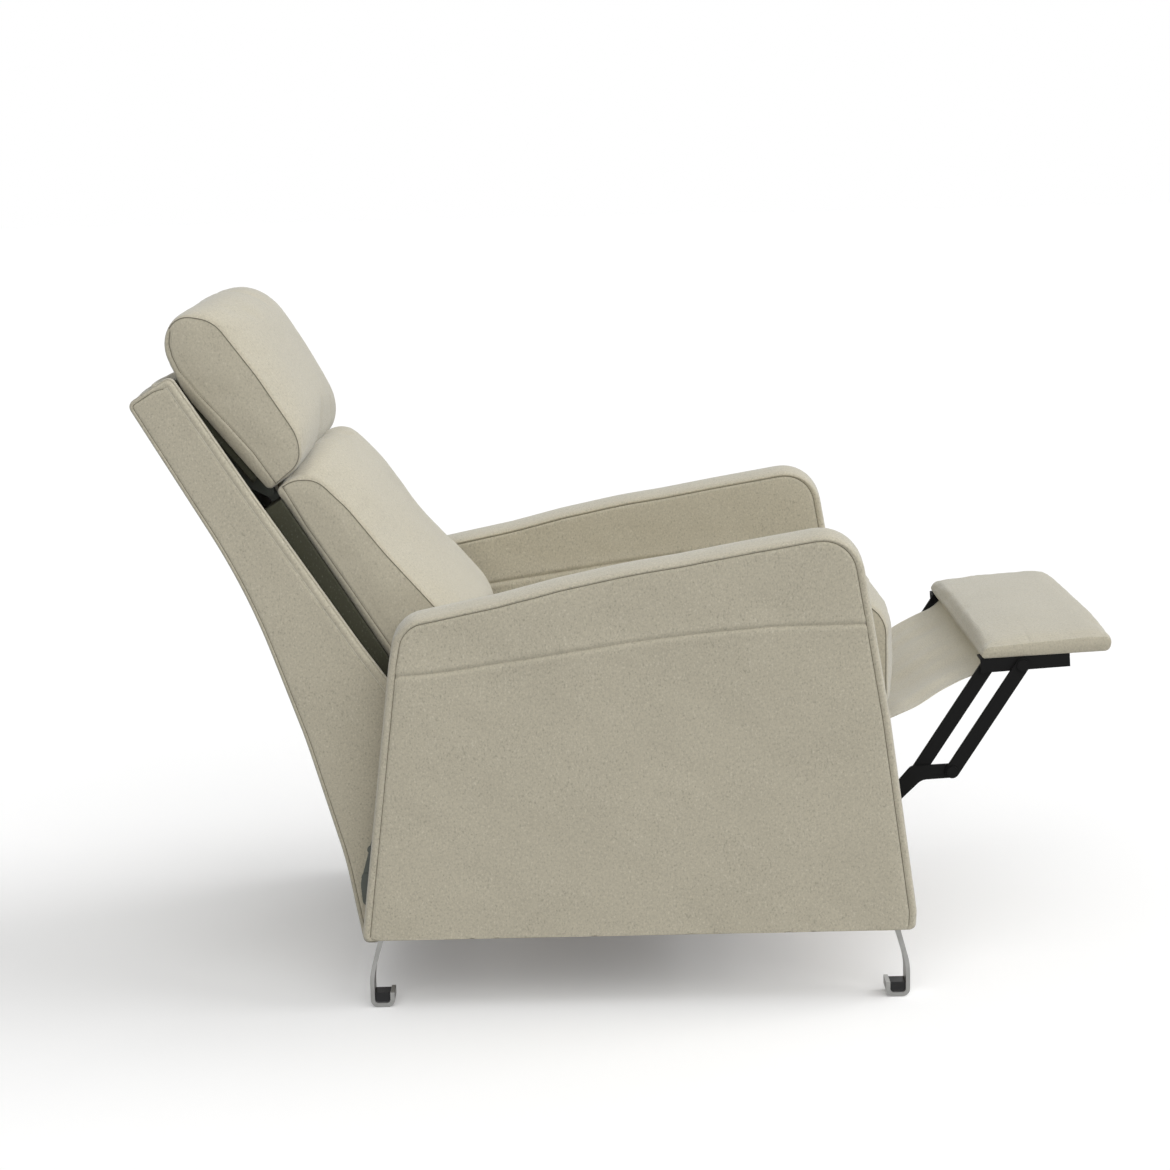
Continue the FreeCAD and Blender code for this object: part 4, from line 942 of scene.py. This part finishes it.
back_corners = [
    (0.6, 0, 12, 0, 0), (0.6, 397, 8, 0, 0), (28, 398, 50, 0.3, 0.4), (58, 380, 50, 1.0, 1.5),
    (72, 320, 200, 1.1, 0.2), (80, 240, 500, 1, 0), (108, 63.4, 99, 1, 0), (86.4, 0, 34, 0.3, 0),
]
back_piece = cushion(
    "back_cushion_upholstery", back_corners, BACK_HALF, 27, BACK_FOOT, BACK_LEAN, "back", 41,
    side_seams=[[(13, 1), (12, 120), (11, 230), (9, 330), (12, 397)]],
    rear_strip=(11, 420, 5), calm=0.4,
)
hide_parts("back_cushion")

head_corners = [
    (0.6, 0, 8, 0, 0), (0.6, 176, 120, 0, 0), (24, 250, 60, 0, 0.1), (66, 268, 60, 0.4, 0.15),
    (101, 228, 50, 1.3, 0.15), (96, 130, 400, 1, 0.1), (84, 30, 80, 0.75, 0), (62, 0, 40, 0.4, 0),
]
back_slope, head_slope = math.radians(BACK_LEAN), math.radians(HEAD_LEAN)
head_foot = (
    BACK_FOOT[0] - math.sin(back_slope) * HEAD_UP - HEAD_BEHIND * math.cos(head_slope),
    BACK_FOOT[1] + math.cos(back_slope) * HEAD_UP - HEAD_BEHIND * math.sin(head_slope),
)
head_piece = cushion(
    "head_cushion_upholstery", head_corners, BACK_HALF, 30, head_foot, HEAD_LEAN, "headrest", 47,
    side_seams=[[
        (16, 1), (21, 55), (20, 107), (17, 168), (18.5, 206), (24, 226), (32, 242), (45, 254.5),
    ]],
    rear_strip=(18, 215, 8), calm=0.5,
)
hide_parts("head_cushion")

seat_corners = [
    (0, 0, 24, 0, 0), (0, 48, 24, 0, 0.1), (194, 124, 124, 0, 0.8), (591, 170, 48, 1, 1),
    (563, 0, 24, 1, 0),
]
seat_piece = cushion(
    "seat_cushion_upholstery", seat_corners, 257, 13, SEAT_FOOT, SEAT_LEAN, "seat", 53,
    spacing=9.0, cap=9, flare=7,
)
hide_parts("seat_cushion")

PAD_LOW = 13.5
pad_corners = [
    (-12, PAD_LOW, 5, 0, 0), (-1, PAD_LOW + 15, 12, 0, 0.5), (60, PAD_LOW + 17, 200, 0, 1.0),
    (150, PAD_LOW + 19, 60, 0, 0.75), (177, PAD_LOW + 17, 14, 0.6, 0.35),
    (172, PAD_LOW - 2.5, 9, 0.3, 0),
]
pad_piece = cushion(
    "footrest_upholstery", pad_corners, 254, 13, PAD_FOOT, PAD_LEAN, "footrest", 59,
    drawn=1.0, edge_puff=3.0, groove=0.0, calm=0.35, cap=2.5,
)
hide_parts("footrest_pad")

# The soft flap along the top of the shell

flap_low, flap_high = (
    np.array(corner) * 1000 + np.array([MIDDLE, 0, 0]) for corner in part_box("shell_top_flap")
)
flap_size = flap_high - flap_low
flap_ring = rounded([
    (flap_low[0], flap_low[2], 3), (flap_low[0] + 0.2 * flap_size[0], flap_high[2] - 2, 5),
    (flap_low[0] + 0.6 * flap_size[0], flap_high[2], 5), (flap_high[0], flap_high[2] - 5, 5),
    (flap_high[0] - 1, flap_low[2] + 2, 4),
], 7, 4)
flap = slab(
    "shell_flap_upholstery", flap_ring, flap_size[1] / 2, "shell_upholstery", "back", 71, pull=3.0,
)
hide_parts("shell_top_flap")

# Lining, sewn as a sleeve, over the wooden frame of the back and over the headrest's board. Its
# near-black colour is painted shade for the dark gaps beside and behind the cushions

def sleeve(name, foot, lean, front, rear, low, high, half, body, seed, thick=0.9):
    """A sleeve of thin cloth pulled over a board that lies on a slope."""
    middle = (front + rear) / 2
    deep = (front - rear) / 2
    outline = rounded([
        (-deep, -half, 4), (deep, -half, 1.5), (deep, half, 1.5), (-deep, half, 4),
    ], 5, 30)

    def folded(ring, share):
        return ring * [1 - share, 1 - share * deep / half]

    rings = [(height, outline) for height in np.linspace(low, high, 22)]
    rings += [(high + 0.4 * thick, folded(outline, share)) for share in (0.06, 0.3, 0.6, 0.9)]
    within = inset(outline, thick)
    rings += [(high - thick, folded(within, share)) for share in (0.9, 0.6, 0.3, 0.06)]
    rings += [(height, within) for height in np.linspace(high - thick, low, 22)]
    verts = []
    for height, ring in rings:
        solid = np.column_stack([ring, np.full(len(ring), height)])
        slack = 0.5 * wobble(solid, 60, seed) * (ring[:, 0] < 0)
        placed = np.column_stack([middle + ring[:, 0] + slack, np.full(len(ring), height)])
        placed = upright(placed, foot, lean)
        verts.append(np.column_stack([placed[:, 0], ring[:, 1], placed[:, 1]]))
    faces = quads(len(rings), len(outline), closed=True)
    made = mesh_piece(name, np.vstack(verts), faces, "lining", body)
    steps = np.diff(np.vstack([outline, outline[:1]]), axis=0)
    round_it = np.linalg.norm(steps, axis=1).sum()
    return made, (round(round_it / 1000, 3), round((high - low) / 1000, 3))


frame_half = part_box("back_top_rail")[1][1] * 1000 + 0.3
lining, lining_flat = sleeve(
    "back_frame_lining_painted_shade", BACK_FOOT, BACK_LEAN, 0.4, -33.2, 4, 382, frame_half, "back", 91,
)
board_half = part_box("headrest_board")[1][1] * 1000 + 1.5
cover, cover_flat = sleeve(
    "headrest_board_lining_painted_shade", head_foot, HEAD_LEAN, 0.4, -11.6, 22, 187, board_half, "headrest", 93,
)


# The cloth between the seat and the footrest, in two pieces that meet in one sheet at rest

APRON_BEND = np.array([
    (720, 381), (732, 379.5), (748, 380.5), (768, 388), (793, 400),
    (824, 421), (852, 436), (877, 447), (893, 461), (905, 477),
], float)
APRON_HALF = 236
APRON_COLUMNS = 121
APRON_ROWS = 46
# The folds take up this much more cloth than the smooth line is long
APRON_SLACK = 1.015
# The rear piece ends at this share of the line
SPLIT = 0.6


def apron_line(share):
    """A place (x, z) along the cloth from the seat to the footrest."""
    place = 1 + min(max(share, 0), 0.99999) * (len(APRON_BEND) - 3)
    first = int(place)
    t = place - first
    a, b, c, d = APRON_BEND[first - 1 : first + 3]
    square = (2 * a - 5 * b + 4 * c - d) * t ** 2
    cube = (3 * b - a - 3 * c + d) * t ** 3
    return 0.5 * (2 * b + (c - a) * t + square + cube)


def apron_piece(name, first, last, body, thick=1.4):
    """One stretch of the cloth, with slack folds. The two stretches meet in one smooth sheet."""
    shares = np.linspace(first, last, APRON_ROWS)
    line = np.array([apron_line(share) for share in shares])
    ahead = np.array([apron_line(share + 0.01) - apron_line(share - 0.01) for share in shares])
    ahead /= np.linalg.norm(ahead, axis=1)[:, None]
    up = np.stack([-ahead[:, 1], ahead[:, 0]], axis=1)
    columns = np.linspace(-1, 1, APRON_COLUMNS)
    top = []
    for share, point, rise in zip(shares, line, up):
        place = np.column_stack([np.full(APRON_COLUMNS, share * 90), columns * APRON_HALF])
        slack = math.sin(math.pi * min(1, max(0, share))) ** 0.8
        fold = 3.2 * wobble(place, 190, 81) + 1.3 * wobble(place * [1, 1.3], 70, 82)
        edge = 2.0 * np.abs(columns) ** 14 * math.sin(5 * share + 0.6)
        lift = slack * (fold + edge - 3.0 * (1 - columns ** 2))
        lift *= 1 if share < 0.75 else (1 - share) * 4
        top.append(np.column_stack([
            point[0] + rise[0] * lift, columns * APRON_HALF, point[1] + rise[1] * lift,
        ]))
    rows = []
    for row, rise in zip(top, up):
        under = row - thick * np.array([rise[0], 0, rise[1]])
        rows.append(np.vstack([row, under[::-1]]))
    made = swept(name, rows, "apron_cloth", body)
    made.data.set_sharp_from_angle(angle=math.radians(50))
    length = np.linalg.norm(np.diff(line, axis=0), axis=1).sum()
    return made, round(length * APRON_SLACK / 1000, 3)


# Cloth over the face of the seat's front rail, as places on the slope of the seat
rail_cover_ring = rounded([
    (x, z, 1.2) for x, z in ((545.2, -1), (547.8, -1), (547.8, -60), (545.2, -60))
], 4, 14)
rail_cover = slab(
    "seat_rail_cover", upright(rail_cover_ring, SEAT_FOOT, SEAT_LEAN), 241, "shell_upholstery",
    "seat", 87, pull=0.3, uneven=0.2,
)

apron_rear, rear_long = apron_piece("apron_rear_cloth", 0, SPLIT, "seat")
apron_front, front_long = apron_piece("apron_front_cloth", SPLIT, 1, "footrest")
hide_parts("footrest_apron")
start = apron_line(0)
run = apron_line(SPLIT) - start
run /= np.linalg.norm(run)
anchor = metres([(start[0], 0, start[1])])[0]
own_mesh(apron_rear)

# Floor, light and camera

# The floor, in metres. It gives the chair less light back than the camera sees in it.
FLOOR_SIDE, FLOOR_FAR, FLOOR_BELOW = 14, 30, 0.0006
FLOOR_TO_CHAIR, FLOOR_TO_CAMERA, FLOOR_GLOW = 0.55, 0.88, 0.15
AIR_TO_CHAIR, AIR_TO_CAMERA = 0.32, 1.0
# Each sun's name, strength, direction that it shines from, and width in degrees
SUNS = (
    ("front_key", 1.30, (0.75, 0.02, 0.66), 40),
    ("far_key", 0.42, (0.55, 0.45, 0.70), 40),
    ("side_fill", 1.42, (0.15, -0.78, 0.80), 70),
)
# The camera that was fitted to the photograph: turn, pitch and roll in degrees, place in metres
# from the rear of the side panels, and lens in millimetres on a sensor 36 mm wide
CAMERA_ANGLES = (-0.126, 10.722, 1.249)
CAMERA_PLACE = (0.3304, -3.5921, 1.2209)
CAMERA_SENSOR, CAMERA_LENS = 36, 74.615

floor_mesh = bpy.data.meshes.new("studio_floor")
floor_mesh.from_pydata([
    (-FLOOR_SIDE, -FLOOR_SIDE, 0), (FLOOR_SIDE, -FLOOR_SIDE, 0),
    (FLOOR_SIDE, FLOOR_FAR, 0), (-FLOOR_SIDE, FLOOR_FAR, 0),
], [], [(0, 1, 2, 3)])
floor = bpy.data.objects.new("studio_floor", floor_mesh)
scene.collection.objects.link(floor)
floor.location.z = -FLOOR_BELOW
floor_material, tree, shader = new_material("studio_floor_paint")
tree.nodes.remove(shader)
output = tree.nodes["Material Output"]
matt = node(tree, "ShaderNodeBsdfDiffuse")
glow = node(tree, "ShaderNodeEmission", in_Color=grey(1.0))
seen = node(tree, "ShaderNodeLightPath")
paint = mixed(
    tree, seen.outputs["Is Camera Ray"], grey(FLOOR_TO_CHAIR), grey(FLOOR_TO_CAMERA),
)
tree.links.new(paint, matt.inputs["Color"])
lift = maths(tree, "MULTIPLY", seen.outputs["Is Camera Ray"], FLOOR_GLOW)
tree.links.new(lift, glow.inputs["Strength"])
both = node(tree, "ShaderNodeAddShader")
tree.links.new(matt.outputs[0], both.inputs[0])
tree.links.new(glow.outputs[0], both.inputs[1])
tree.links.new(both.outputs[0], output.inputs["Surface"])
floor_mesh.materials.append(floor_material)

world = bpy.data.worlds.new("studio_air")
scene.world = world
world.use_nodes = True
tree = world.node_tree
air = tree.nodes["Background"]
air.inputs["Color"].default_value = grey(1.0)
seen = node(tree, "ShaderNodeLightPath")
direct = maths(
    tree, "MAXIMUM", seen.outputs["Is Camera Ray"], seen.outputs["Is Glossy Ray"],
)
level = node(tree, "ShaderNodeMapRange")
level.inputs["To Min"].default_value = AIR_TO_CHAIR
level.inputs["To Max"].default_value = AIR_TO_CAMERA
tree.links.new(direct, level.inputs["Value"])
tree.links.new(level.outputs[0], air.inputs["Strength"])

for name, energy, shines_from, spread in SUNS:
    sun_data = bpy.data.lights.new(name, "SUN")
    sun_data.energy = energy
    sun_data.angle = math.radians(spread)
    sun = bpy.data.objects.new(name, sun_data)
    sun.rotation_euler = Vector(shines_from).to_track_quat("Z", "Y").to_euler()
    scene.collection.objects.link(sun)

psi, pitch, roll = (math.radians(angle) for angle in CAMERA_ANGLES)
looking = Vector((
    math.sin(psi) * math.cos(pitch), math.cos(psi) * math.cos(pitch), -math.sin(pitch),
))
level_right = Vector((math.cos(psi), -math.sin(psi), 0))
level_up = level_right.cross(looking)
right = level_right * math.cos(roll) - level_up * math.sin(roll)
above = level_right * math.sin(roll) + level_up * math.cos(roll)
camera_data = bpy.data.cameras.new("photo_camera")
camera_data.sensor_width = CAMERA_SENSOR
camera_data.lens = CAMERA_LENS
camera = bpy.data.objects.new("photo_camera", camera_data)
ahead, side, height = CAMERA_PLACE
place = Matrix.Translation((ahead - MIDDLE / 1000, side, height))
camera.matrix_world = place @ Matrix((right, above, -looking)).transposed().to_4x4()
scene.collection.objects.link(camera)
scene.camera = camera

scene.view_settings.view_transform = "Standard"
